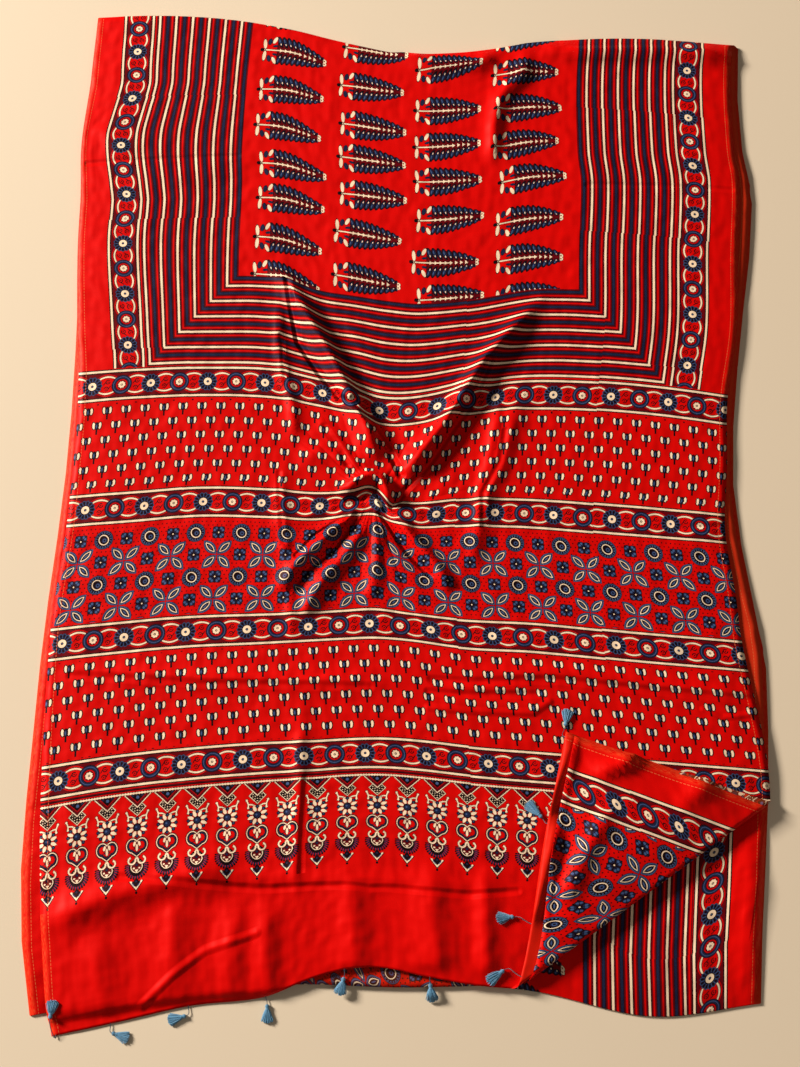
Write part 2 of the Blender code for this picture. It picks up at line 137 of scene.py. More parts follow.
# and of the layer that the turned-up corner lays bare
underCreases = (
    (7, 11, ((430, -700), (470, -650), (512, -606), (540, -580))),
    (8, 10, ((505, -560), (512, -640), (500, -720), (512, -800))),
    (5, 12, ((360, -690), (372, -740), (378, -790))),
    (6, 12, ((425, -660), (428, -730), (436, -800))),
)
crease = {
    "blend": 3.0,  # the more, the sharper the seam between two that meet
    "roundness": 1.5,
    "reach": 2.6,  # in half widths
    "fadeIn": 0.3,  # shares of the path
    "fadeOut": 0.15,
}
# How far the left border's lines stray sideways, at places up the plan, and the share of it across the cloth
stray = {
    "up": (150, 197, 289, 421, 499, 515, 538, 566, 594, 613, 632, 656, 680, 704, 721, 748, 777, 814, 851),
    "by": (0, 4.8, 1.6, -6, -4.5, -6.7, -9.7, -13.5, -16.5, -17.4, -16.5, -12.5, -8.5, -4.4, -2.6, -4.3,
           -5.9, -7.4, -9.6),
    "across": (0, 45, 115, 190, 270),
    "share": (0.25, 1.0, 1.0, 0.5, 0.0),
}
foldFrom, foldTo = Vector((154, -771)), Vector((540, -502))  # the corner's fold, hem to right edge
foldAlong = (foldTo - foldFrom).normalized()
foldOut = Vector((foldAlong.y, -foldAlong.x))
flapCreases = (
    (15, 9, ((262, -472), (318, -452), (356, -424), (390, -412))),
    (12, 22, ((452, -410), (455, -460), (425, -505))),
    (9, 9, ((252, -392), (238, -440), (222, -480), (205, -530))),
    (7, 16, ((470, -450), (440, -490), (400, -520))),
    (11, 12, ((310, -500), (262, -580), (226, -660))),
    (9, 9, ((225, -520), (204, -600), (180, -690))),
)
flap = {  # the turned-up corner's looseness, by the distance from its free end and from the fold
    "hollow": -3.5,
    "hollowIn": 32.0,
    "hollowHalf": 14.0,
    "fullness": 4.0,
    "fullFrom": 45.0,
    "fullOver": 70.0,
    "liftOver": 70.0,
    "gap": 3.0,  # between its two layers
    "gapOver": 30.0,
    "bend": 4.0,  # of its fold, above the top layer
    "cuts": 6,
    "drawn": Vector((-20, 20)),  # how far the corner is pulled on past its mirrored place
    "drawnOver": 215.0,
}

# Mesh lines across the cloth and along it: where a stretch ends and about how far apart its lines are
acrossSteps = ((53.5, 9), (110, 9.4), (270, 9), (340, 8.5), (720, 6), (839, 9), (1002.5, 9), (1058.5, 9.4),
               (1106, 9))
firstSteps = ((24, 4), (172, 9), (335.8, 9.1), (394, 9), (549, 9), (609, 7.5), (765, 6.5), (825, 6.5),
              (975, 8), (1034.5, 9), (1192, 9), (1187 + bodyShare, 10.5))
stageSteps = {
    "outerBend": 6,
    "bottom": 16,
    "lowerBend": 4,
    "second": 18,
    "innerBend": 4,
}
thirdSteps = ((0.8, 0.031), (1.0, 0.0048))  # of the layer below the top one, by shares of its length


def smoothAt(xs, ys, x):
    # a smooth curve through the points, held level past both ends
    if x <= xs[0]:
        return ys[0]
    if x >= xs[-1]:
        return ys[-1]
    i = bisect.bisect_right(xs, x) - 1

    def slope(k):
        low, high = max(k - 1, 0), min(k + 1, len(xs) - 1)
        return (ys[high] - ys[low]) / (xs[high] - xs[low])

    span = xs[i + 1] - xs[i]
    t = (x - xs[i]) / span
    rise = ys[i + 1] - ys[i]
    start, finish = slope(i) * span, slope(i + 1) * span
    return ys[i] + t * start + t * t * (3 * rise - 2 * start - finish) + t**3 * (start + finish - 2 * rise)


def ease(t):
    t = min(max(t, 0.0), 1.0)
    return t * t * (3 - 2 * t)


def heightOf(name, u):
    return smoothAt(laid["across"], laid[name], u)


def acrossToX(u, y, left, right, inset=0.0):
    start = smoothAt(sides["up"], sides[left], y) + inset
    finish = smoothAt(sides["up"], sides[right], y) - inset
    return start + (finish - start) * u


def meshLines(steps):
    # places of the mesh lines, with one on each end of a stretch
    places = [0.0]
    for end, apart in steps:
        start = places[-1]
        count = max(1, round((end - start) / apart))
        places += [start + (end - start) * (n + 1) / count for n in range(count)]
    return places


acrossLines = meshLines(acrossSteps)
firstLines = meshLines(firstSteps)
stages = [("first", firstLines)]
stages += [(name, [n / count for n in range(count + 1)]) for name, count in stageSteps.items()]
stages.append(("third", meshLines(thirdSteps)))
rowCount = sum(len(lines) - 1 for _, lines in stages)


def between(lines, spot):
    low = min(int(spot), len(lines) - 2)
    return lines[low] + (lines[low + 1] - lines[low]) * (spot - low)


def stageOf(row):
    # the layer or fold that a mesh row lies in, and how far along it
    for name, lines in stages:
        if row <= len(lines) - 1 or name == "third":
            return name, between(lines, row)
        row -= len(lines) - 1


def strayed(u, y):
    # the left border's lines wander sideways, and its edge a little with them
    share = smoothAt(stray["across"], stray["share"], u * cloth["width"])
    return share * smoothAt(stray["up"], stray["by"], y) if share else 0.0


def firstLayer(u, length):
    # plan position on the top layer at a flat length from the hem
    top = heightOf("top", u) - cloth["outerBend"]
    lengths = list(printedLines.values())
    straight = lengths[-1] + top - heightOf("line5", u)
    heights = [heightOf(name, u) for name in printedLines]
    if length > lengths[-1]:
        length = lengths[-1] + (length - lengths[-1]) / bodyShare * (straight - lengths[-1])
    y = smoothAt(lengths + [straight], heights + [top], length)
    return acrossToX(u, y, "firstLeft", "firstRight") + strayed(u, y), y, length, straight


def bent(y, outward, radius, middle, share):
    angle = math.pi * (0.5 - share)
    return y + outward * abs(radius) * math.cos(angle), middle + radius * math.sin(angle)


def place(u, row):
    # where a point of the strip lies before creases, and its flat length from the hem
    stage, share = stageOf(row)
    level, inner, outer, inset = (cloth[name] for name in ("levels", "innerBend", "outerBend", "inset"))
    top, turn = heightOf("top", u) - outer, heightOf("turn", u) + inner
    if stage == "first":
        x, y, length, _ = firstLayer(u, share)
        return x, y, level["first"], length
    length = printedLines["line5"] + top - heightOf("line5", u)
    if stage == "outerBend":
        y, z = bent(top, 1, outer, (level["first"] + level["bottom"]) / 2, share)
        left = acrossToX(u, top, "firstLeft", "firstRight") + strayed(u, top)
        right = acrossToX(u, top, "underLeft", "underRight")
        return left + (right - left) * share, y, z, length + math.pi * outer * share
    length += math.pi * outer
    if stage == "bottom":
        y = top + (turn - top) * share
        return acrossToX(u, y, "underLeft", "underRight"), y, level["bottom"], length + top - y
    length += top - turn
    if stage == "lowerBend":
        y, z = bent(turn, -1, -inner, (level["bottom"] + level["second"]) / 2, share)
        x = acrossToX(u, turn, "underLeft", "underRight", inset * share)
        return x, y, z, length + math.pi * inner * share
    length += math.pi * inner
    if stage == "second":
        y = turn + (top - turn) * share
        return acrossToX(u, y, "underLeft", "underRight", inset), y, level["second"], length + y - turn
    length += top - turn
    if stage == "innerBend":
        y, z = bent(top, 1, -inner, (level["second"] + level["third"]) / 2, share)
        return acrossToX(u, top, "underLeft", "thirdRight", inset), y, z, length + math.pi * inner * share
    length += math.pi * inner
    y = top + (heightOf("end", u) - top) * share
    return acrossToX(u, y, "firstLeft", "thirdRight", inset), y, level["third"], length + top - y


def stackEdge(x):
    left, right = sides["firstLeft"][1], sides["firstRight"][1]
    u = min(max((x - left) / (right - left), 0.0), 1.0)
    return min(heightOf("turn", u), heightOf("end", u))


def fallen(x, y, height, low):
    return height + (low - height) * ease((stackEdge(x) - 1 - y) / cloth["hemFall"])


def ridge(shape, x, y):
    # height of one crease at a point: round across, fading out at both ends
    high, wide, path = shape
    reach = crease["reach"] * wide
    if not (min(p[0] for p in path) - reach < x < max(p[0] for p in path) + reach):
        return 0.0
    if not (min(p[1] for p in path) - reach < y < max(p[1] for p in path) + reach):
        return 0.0
    nearest, spot, walked = None, 0.0, 0.0
    for (x0, y0), (x1, y1) in zip(path, path[1:]):
        dx, dy = x1 - x0, y1 - y0
        length = math.hypot(dx, dy)
        t = min(max(((x - x0) * dx + (y - y0) * dy) / length**2, 0.0), 1.0)
        away = math.hypot(x - x0 - t * dx, y - y0 - t * dy)
        if nearest is None or away < nearest:
            nearest, spot = away, walked + t * length
        walked += length
    fade = ease(spot / (crease["fadeIn"] * walked)) * ease((walked - spot) / (crease["fadeOut"] * walked))
    return high * fade * math.exp(-((nearest / wide) ** crease["roundness"]))


def blended(ridges, x, y):
    # where ridges meet, the higher one shows
    return sum(ridge(shape, x, y) ** crease["blend"] for shape in ridges) ** (1 / crease["blend"])


def creased(x, y):
    return blended(creases, x, y) - sum(ridge(trough, x, y) for trough in troughs)


def rippled(x, y):
    spot = Vector((x, y, 0)) / cloth["rippleSize"]
    return cloth["ripple"] * (0.5 + 0.5 * noise.noise(spot) + 0.25 * noise.noise(spot * 2.3))


def mirrored(point):
    return point - foldOut * (2 * (point - foldFrom).dot(foldOut))


flapCorner = mirrored(Vector(firstLayer(1.0, 0.0)[:2])) + flap["drawn"]
flapEdge = (flapCorner - foldFrom).normalized()


def flapLift(x, y, beyond):
    # looseness of the turned-up corner: a hollow along its free end and a full middle
    inside = abs(flapEdge.x * (y - foldFrom.y) - flapEdge.y * (x - foldFrom.x))
    hollow = flap["hollow"] * math.exp(-(((inside - flap["hollowIn"]) / flap["hollowHalf"]) ** 2))
    full = flap["fullness"] * ease((inside - flap["fullFrom"]) / flap["fullOver"])
    return (hollow + full + blended(flapCreases, x, y)) * ease(beyond / flap["liftOver"])


def turnedUp(x, y, z):
    beyond = (Vector((x, y)) - foldFrom).dot(foldOut)
    if beyond <= 0:
        return x, y, z
    axis = cloth["levels"]["first"] + flap["bend"]
    radius = axis - z
    angle = min(beyond / radius, math.pi)
    after = max(beyond - math.pi * radius, 0.0)
    spot = Vector((x, y)) + foldOut * (radius * math.sin(angle) - after - beyond)
    spot += flap["drawn"] * (after / flap["drawnOver"]) ** 1.5
    lift = flapLift(spot.x, spot.y, after)
    if z < cloth["levels"]["first"]:
        lift += flap["gap"] * ease(after / flap["gapOver"])
    return spot.x, spot.y, axis - radius * math.cos(angle) + lift


def topSurface(x, y, height=cloth["levels"]["first"]):
    # height of the top layer's middle: raised by its creases, or coming down at the hem
    beyond = (Vector((x, y)) - foldFrom).dot(foldOut)
    low, high = cloth["hemReach"]
    hem = 1 - ease((y - heightOf("hem", 0.5) - low) / (high - low))
    rise = max(cloth["loose"] + creased(x, y) + rippled(x, y), 0.2)
    left, right = (smoothAt(sides["up"], sides[name], y) for name in ("firstLeft", "firstRight"))
    edge = ease(min(x - left, right - x) / cloth["edgeReach"])
    rise *= (1 - cloth["hemCalm"] * hem) * (1 - cloth["edgeCalm"] * (1 - edge))
    return fallen(x, y, height, cloth["hemLow"]) + rise * ease(-beyond / cloth["foldCalm"])


def pinched(x, y):
    # the cloth is drawn up into a peak, and let down again beside it
    drawn = [rise * math.exp(-(((x - left) / wide) ** 2) - ((y - up) / high) ** 2)
             for rise, left, up, wide, high in pinches]
    return y + sum(drawn)


def settled(x, y, z, stage):
    # the final position of a point: creases and the falling hem, or the turned-up corner
    if stage == "first" and (Vector((x, y)) - foldFrom).dot(foldOut) <= 0:
        y = pinched(x, y)
        return x, y, topSurface(x, y)
    if stage in ("first", "third"):
        return turnedUp(x, y, z)
    if stage == "second":
        z += sum(ridge(shape, x, y) for shape in underCreases)
    return x, y, z


# Where each print lies: by flat length over the end piece, by place across the body
endBands = (
    (172, "plain end"),
    (335.8, "temples"),
    (394, "rosette rows"),
    (549, "tulips"),
    (609, "rosette rows"),
    (765, "lattice"),
    (825, "rosette rows"),
    (975, "tulips"),
    (1034.5, "rosette rows"),
)
bodyColumns = (
    (53.5, "plain margin"),
    (110, "side border"),
    (270, "stripes"),
    (839, "leaves"),
    (1002.5, "stripes"),
    (1058.5, "side border"),
    (1106, "plain margin"),
)


def printOf(t, s, stage):
    if stage == "first" and s < endBands[-1][0]:
        return next(name for end, name in endBands if s < end)
    name = next(name for end, name in bodyColumns if t < end)
    if stage == "first" and s < 1192 and name == "leaves":
        return "stripes"
    if stage == "third" and name in ("stripes", "leaves"):
        return "lattice"
    return name


def cutForFlap(bm, rows, stage, height):
    # mesh lines along the corner's fold, so that it bends round
    radius = cloth["levels"]["first"] + flap["bend"] - height
    for n in range(flap["cuts"] + 1):
        near = [
            face for face in bm.faces
            if all(stageOf(vert[rows])[0] == stage for vert in face.verts)
            and max((vert.co.xy - foldFrom).dot(foldOut) for vert in face.verts) > -1
            and min((vert.co.xy - foldFrom).dot(foldOut) for vert in face.verts) < math.pi * radius + 1
        ]
        parts = {item for face in near for item in (face, *face.edges, *face.verts)}
        spot = foldFrom + foldOut * (math.pi * radius * n / flap["cuts"])
        bmesh.ops.bisect_plane(bm, geom=list(parts), dist=0.1, plane_co=(spot.x, spot.y, 0),
                               plane_no=(foldOut.x, foldOut.y, 0))


def placed(name, data):
    made = bpy.data.objects.new(name, data)
    bpy.context.scene.collection.objects.link(made)
    return made


def meshFrom(name, bm):
    mesh = bpy.data.meshes.new(name)
    bm.to_mesh(mesh)
    bm.free()
    return mesh


def finished(name, bm):
    # a mesh object at the origin, from a bmesh in the tables' millimetres
    shift = Matrix.Translation((-cloth["middle"][0], -cloth["middle"][1], 0))
    bmesh.ops.transform(bm, matrix=Matrix.Scale(mm, 4) @ shift, verts=bm.verts)
    mesh = meshFrom(name, bm)
    mesh.shade_smooth()
    return placed(name, mesh)


def newMaterial(name):
    made = bpy.data.materials.new(name)
    made.use_nodes = True
    return made, made.node_tree


def makeCloth(prints):
    bm = bmesh.new()
    bmesh.ops.create_grid(bm, x_segments=len(acrossLines) - 1, y_segments=rowCount, size=0.5)
    across = bm.verts.layers.float.new("across")
    rows = bm.verts.layers.float.new("row")
    for vert in bm.verts:
        vert[across] = between(acrossLines, (vert.co.x + 0.5) * (len(acrossLines) - 1)) / cloth["width"]
        vert[rows] = round((vert.co.y + 0.5) * rowCount)
        vert.co = place(vert[across], vert[rows])[:3]
    cutForFlap(bm, rows, "first", cloth["levels"]["first"])
    cutForFlap(bm, rows, "third", cloth["levels"]["third"])

    flat = bm.loops.layers.uv.new("flat")
    lengths = {vert: place(vert[across], vert[rows])[3] for vert in bm.verts}
    order = sorted(prints)
    for face in bm.faces:
        stage = stageOf(sum(vert[rows] for vert in face.verts) / len(face.verts))[0]
        t = sum(vert[across] for vert in face.verts) / len(face.verts) * cloth["width"]
        s = sum(lengths[vert] for vert in face.verts) / len(face.verts)
        face.material_index = order.index(printOf(t, s, stage))
        for loop in face.loops:
            loop[flat].uv = (loop.vert[across] * cloth["width"] * mm, lengths[loop.vert] * mm)
    for vert in bm.verts:
        vert.co = settled(*vert.co, stageOf(vert[rows])[0])
    bmesh.ops.recalc_face_normals(bm, faces=bm.faces)
    piece = finished("sareeCloth", bm)
    for name in order:
        piece.data.materials.append(prints[name][0])
    for name in order:
        piece.data.materials.append(prints[name][1])
    thickness = piece.modifiers.new("thickness", "SOLIDIFY")
    thickness.thickness = cloth["thick"] * mm
    thickness.offset = 0
    thickness.material_offset = len(order)
    return piece, max(lengths.values())


# Modal silk and its dyes

dyes = {  # sRGB, in the order of the numbers that stand for them while a print is built up
    "red": "#D20402",
    "dark red": "#62040C",
    "cream": "#F8D3AA",
    "indigo": "#10142C",
    "black": "#12070B",
    "pale indigo": "#40567A",
    "stitch": "#DC6236",
}
dyeNumbers = {name: float(number) for number, name in enumerate(dyes)}
silk = {
    "reverse": "#D8622E",  # the red ground where it is worn, or shows on the wrong side
    "reverseShade": 0.9,
    "worn": 0.5,
    "wornIn": 10.0,  # mm from the side edges
    "roughness": 0.5,
    "specular": 0.13,
    "tint": "#FF9A80",  # of the gloss
    "bleed": 1.5,  # mm by which the edges of a print wander
    "bleedSize": 6.0,
    "blockWide": 232.0,  # mm between the joins of two print blocks
    "blockStart": (0.19, 0.4, 0),  # in shares of a block
    "blockSlip": 1.6,  # mm by which neighbouring blocks miss each other
    "thread": 1.1,  # mm across a slub of the weave; the real threads are 0.2 mm, too fine to show
    "slubLength": 14.0,
    "slubHeight": 0.015,
    "stitchIn": 12.0,  # mm from the edges to the hems' stitches
    "stitchPitch": 5.2,
    "stitchShare": 0.33,
    "stitchHalf": 0.45,
    # of the indigo's uneven wash and of the ground's patches: the noise's scale, roughness, range and shades
    "wash": (0.045, 0.65, 0.45, 0.8, 0.0, 0.45),
    "patches": (0.012, 0.6, 0.3, 0.7, 0.84, 1.08),
    "wear": (3.0, 60.0),  # mm across and along a worn streak
    "wearSpan": (0.44, 0.68),  # of the noise, from whole to worn
}


def linearColour(text):
    parts = [int(text[n:n + 2], 16) / 255 for n in (1, 3, 5)]
    return (*[p / 12.92 if p <= 0.04045 else ((p + 0.055) / 1.055) ** 2.4 for p in parts], 1.0)


def addNode(tree, kind, *values, **settings):
    # a kind may carry its operation after a dot, and an operation alone is a Math node's; values go to the
    # sockets in use, in their order
    kind, _, operation = ("Math." + kind if kind.isupper() else kind).partition(".")
    made = tree.nodes.new("ShaderNode" + kind)
    if operation:
        made.operation = operation
    for name, value in settings.items():
        setattr(made, name, value)
    for socket, value in zip([socket for socket in made.inputs if socket.enabled], values):
        if isinstance(value, bpy.types.NodeSocket):
            tree.links.new(value, socket)
        elif value is not None:
            socket.default_value = value
    return next(socket for socket in made.outputs if socket.enabled)


# A print starts as the red ground and is painted over, step by step, wherever a distance is short

def painted(add, ink, *steps):
    # each step is a distance, then limits in mm with the dye inside each of them
    for reach, *rings in steps:
        for limit, dye in zip(rings[::2], rings[1::2]):
            ink = add("Mix", add("LESS_THAN", reach, limit), ink, dyeNumbers[dye])
    return ink


def centred(add, value, pitch):
    # distance from the middle of a repeat, from minus to plus half of its pitch
    return add("WRAP", value, pitch / 2, -pitch / 2)


def offLine(add, value, line):
    # distance from a straight line, on either side
    return add("ABSOLUTE", add("SUBTRACT", value, line))


def awayFrom(add, x, y, centre=(0.0, 0.0)):
    spot = add("CombineXYZ", x, y, 0.0)
    return add("VectorMath.DISTANCE", spot, (*centre, 0.0))


def shareOf(add, x, y, centre, halves, turn):
    # place in shares of a shape's half sizes, turned anticlockwise by degrees
    spot, turned = add("CombineXYZ", x, y, 0.0), (0.0, 0.0, math.radians(turn))
    return add("Mapping", spot, (*centre, 0.0), turned, (*halves, 1.0), vector_type="TEXTURE")


def oval(add, x, y, centre, halves, turn=0.0):
    # 1 on the edge of an oval, less inside
    return add("VectorMath.LENGTH", shareOf(add, x, y, centre, halves, turn))


def stroke(add, x, y, start, end):
    # distance from a straight stroke of the brush
    way = Vector(end) - Vector(start)
    spot = add("VectorMath.SUBTRACT", add("CombineXYZ", x, y, 0.0), (*start, 0.0))
    share = add("VectorMath.DOT_PRODUCT", spot, (*(way / way.length_squared), 0.0))
    share = add("MINIMUM", add("MAXIMUM", share, 0.0), 1.0)
    nearest = add("VectorMath.MULTIPLY", add("CombineXYZ", share, share, 0.0), (*way, 0.0))
    return add("VectorMath.DISTANCE", spot, nearest)


def almond(add, x, y, centre, halves, turn=0.0):
    # 1 on the edge of a petal that is pointed at both ends
    apart = add("SeparateXYZ", add("VectorMath.ABSOLUTE", shareOf(add, x, y, centre, halves, turn)))
    long, wide = apart, apart.node.outputs["Y"]
    return add("MULTIPLY_ADD", long, long, wide)


# Rows of rosettes between two cream lines, joined by arched panels
rosettes = {
    "pitch": 48.0,
    "line": 24.0,  # from the row's middle to its lines
    "lineHalf": 1.7,
    "edge": 1.9,  # black beside cream
    "arch": 14.6,
    "archDrop": 0.022,
    "archHalf": 1.35,
    "radius": 16.0,
    "teeth": 14,
    "lobes": 8,
}
# Middle of each row across the end piece, its first rosette and their pitch
rosetteRows = ((364.0, 25.3, 46.75), (579.0, 20.0, 49.1), (795.0, 29.2, 49.3), (1005.0, 22.5, 49.1))


def rosetteRow(add, along, across):
    part = rosettes
    pitch = part["pitch"]
    a = add("ABSOLUTE", across)
    line = offLine(add, a, part["line"])
    ink = painted(add, 0.0, (a, part["line"] + part["lineHalf"], "dark red"),
                  (line, part["lineHalf"] + part["edge"], "black", part["lineHalf"], "cream"))
    x = centred(add, along, pitch)
    panelX = centred(add, add("ADD", along, pitch / 2), pitch)
    bow = add("MULTIPLY", panelX, panelX)
    rim = add("SUBTRACT", a, add("MULTIPLY_ADD", bow, -part["archDrop"], part["arch"]))
    outer = offLine(add, rim, 3.6)
    ink = painted(add, ink, (outer, 0.8, "red"), (rim, 0.0, "red"))
    # in each panel, a pair of scrolls that curl opposite ways
    lean = add("MULTIPLY", panelX, add("SIGN", across))
    scrollX, scrollY = add("SUBTRACT", lean, 0.8), add("SUBTRACT", a, 5.9)
    scroll = awayFrom(add, scrollX, scrollY)
    gap = add("SUBTRACT", scrollX, 1.6)
    curl = offLine(add, scroll, 3.3)
    curl = add("MAXIMUM", curl, add("MINIMUM", gap, add("ADD", scrollY, 0.5)))
    hook = stroke(add, scrollX, scrollY, (-3.2, 0.6), (-6.6, -4.6))
    ink = painted(add, ink, (curl, 0.75, "black"), (scroll, 1.1, "black"), (hook, 0.7, "black"))
    rim = add("ABSOLUTE", rim)
    ink = painted(add, ink, (rim, part["archHalf"] + 0.9, "black", part["archHalf"], "cream"))

    r = awayFrom(add, x, across)
    angle = add("ARCTAN2", across, x)
    size = part["radius"]
    # a plain rosette: an indigo ring, two reds and a lobed heart
    wave = add("SINE", add("MULTIPLY", angle, float(part["lobes"])))
    lobed = add("MULTIPLY_ADD", wave, 0.45, r)
    pale = offLine(add, r, 13.4)
    plain = painted(add, ink, (r, size + 0.7, "black", size - 0.4, "indigo"), (pale, 0.45, "pale indigo"),
                    (r, 10.6, "black", 9.9, "dark red", 9.1, "red", 7.6, "dark red"), (lobed, 5.6, "cream"),
                    (r, 1.9, "black", 0.8, "cream"))
    # a toothed one: dark petals round a cream heart
    slot = 2 * math.pi / part["teeth"]
    tooth = add("MULTIPLY", centred(add, angle, slot), r)
    scallop = add("MULTIPLY_ADD", add("MULTIPLY", tooth, tooth), 0.2, r)
    gap = add("ABSOLUTE", add("MULTIPLY", centred(add, add("ADD", angle, slot / 2), slot), r))
    gap = add("MAXIMUM", gap, add("SUBTRACT", scallop, size - 0.8))
    petal = oval(add, r, tooth, (11.9, 0.0), (2.6, 1.5))
    toothed = painted(add, ink,
                      (scallop, size + 0.6, "black", size - 0.2, "pale indigo", size - 0.9, "indigo"),
                      (gap, 0.35, "pale indigo"), (petal, 1.0, "black"),
                      (r, 8.2, "black", 6.6, "cream", 2.2, "black", 1.1, "pale indigo"))
    turn = centred(add, add("ADD", along, pitch / 2), pitch * 2)
    return add("Mix", add("GREATER_THAN", turn, 0.0), plain, toothed)


def endRows(add, t, s):
    across, start, stretch = 1000.0, 0.0, 1.0
    for middle, first, apart in rosetteRows:
        offset = add("SUBTRACT", s, middle)
        nearer = add("LESS_THAN", add("ABSOLUTE", offset), add("ABSOLUTE", across))
        across = add("Mix", nearer, across, offset)
        start = add("Mix", nearer, start, first)
        stretch = add("Mix", nearer, stretch, rosettes["pitch"] / apart)
    return rosetteRow(add, add("MULTIPLY", add("SUBTRACT", t, start), stretch), across)


# The border along each side has the same rosettes
sideRow = {"middle": 556.1, "apart": 474.4, "first": 1527.0, "pitch": 45.4}


def sideBorder(add, t, s):
    fromMiddle = offLine(add, t, sideRow["middle"])
    across = add("SUBTRACT", fromMiddle, sideRow["apart"])
    along = add("MULTIPLY", add("SUBTRACT", s, sideRow["first"]), rosettes["pitch"] / sideRow["pitch"])
    return rosetteRow(add, along, across)


# Nested stripes round the leaves, indigo and cream by turns, mitred at the corners
stripe = {"middle": 554.6, "apart": 289.4, "low": 1187.0, "pitch": 13.5, "half": 2.0, "cream": 1.8,
          "edge": 1.1}


def stripes(add, t, s):
    part = stripe
    side = offLine(add, t, part["middle"])
    side = add("SUBTRACT", side, part["apart"])
    out = add("MAXIMUM", side, add("SUBTRACT", part["low"], s))
    away = add("ABSOLUTE", centred(add, out, part["pitch"]))
    gap = add("SUBTRACT", part["pitch"] / 2, away)
    ink = painted(add, 0.0, (away, part["pitch"], "dark red"), (gap, 1.3, "red"),
                  (away, part["half"] + part["edge"], "black", part["half"], "indigo"))
    turn = add("ABSOLUTE", centred(add, add("ADD", out, part["pitch"]), part["pitch"] * 2))
    return painted(add, ink, (turn, part["half"] + 0.2, "black", part["cream"], "cream"))


# Rows of tulips, each set half a pitch from the next
tulip = {"pitch": 32.2, "rowApart": 25.0, "first": 18.0, "low": 409.5, "petal": (2.3, 5.6), "lean": 5}


def tulips(add, t, s):
    part = tulip
    along = add("MULTIPLY_ADD", s, 1 / part["rowApart"], 0.5 - part["low"] / part["rowApart"])
    row = add("FLOOR", along)
    y = add("MULTIPLY", centred(add, add("SUBTRACT", along, 0.5), 1.0), part["rowApart"])
    shift = add("MULTIPLY", centred(add, row, 2.0), part["pitch"] / 2)
    x = centred(add, add("ADD", add("SUBTRACT", t, part["first"]), shift), part["pitch"])
    a = add("ABSOLUTE", x)
    wide, high = part["petal"]
    side, lean = (5.2, 3.0), -part["lean"]
    stem = add("MAXIMUM", a, add("SUBTRACT", y, 1.0))
    bell = oval(add, a, y, (0.0, 2.1), (3.8, 7.2))
    return painted(add, 0.0, (stem, 1.5, "black"),
                   (oval(add, a, y, side, (wide + 1.7, high + 1.6), lean), 1.0, "black"),
                   (oval(add, a, y, side, (wide, high), lean), 1.0, "cream"), (bell, 1.0, "black"),
                   (oval(add, x, y, (-0.4, 1.9), (2.0, 4.8)), 1.0, "indigo"),
                   (oval(add, x, y, (-0.7, 1.7), (0.9, 3.0)), 1.0, "pale indigo"))


# Circles, squares and four-petalled flowers by turns, on a ground of fine dots
lattice = {"wide": 76.3, "high": 74.0, "first": (28.6, 668.5), "dots": (7.4, 6.4), "petals": (15.4, 7.9),
           "bare": 760.0}  # flat length where the flowers stop at the rosettes


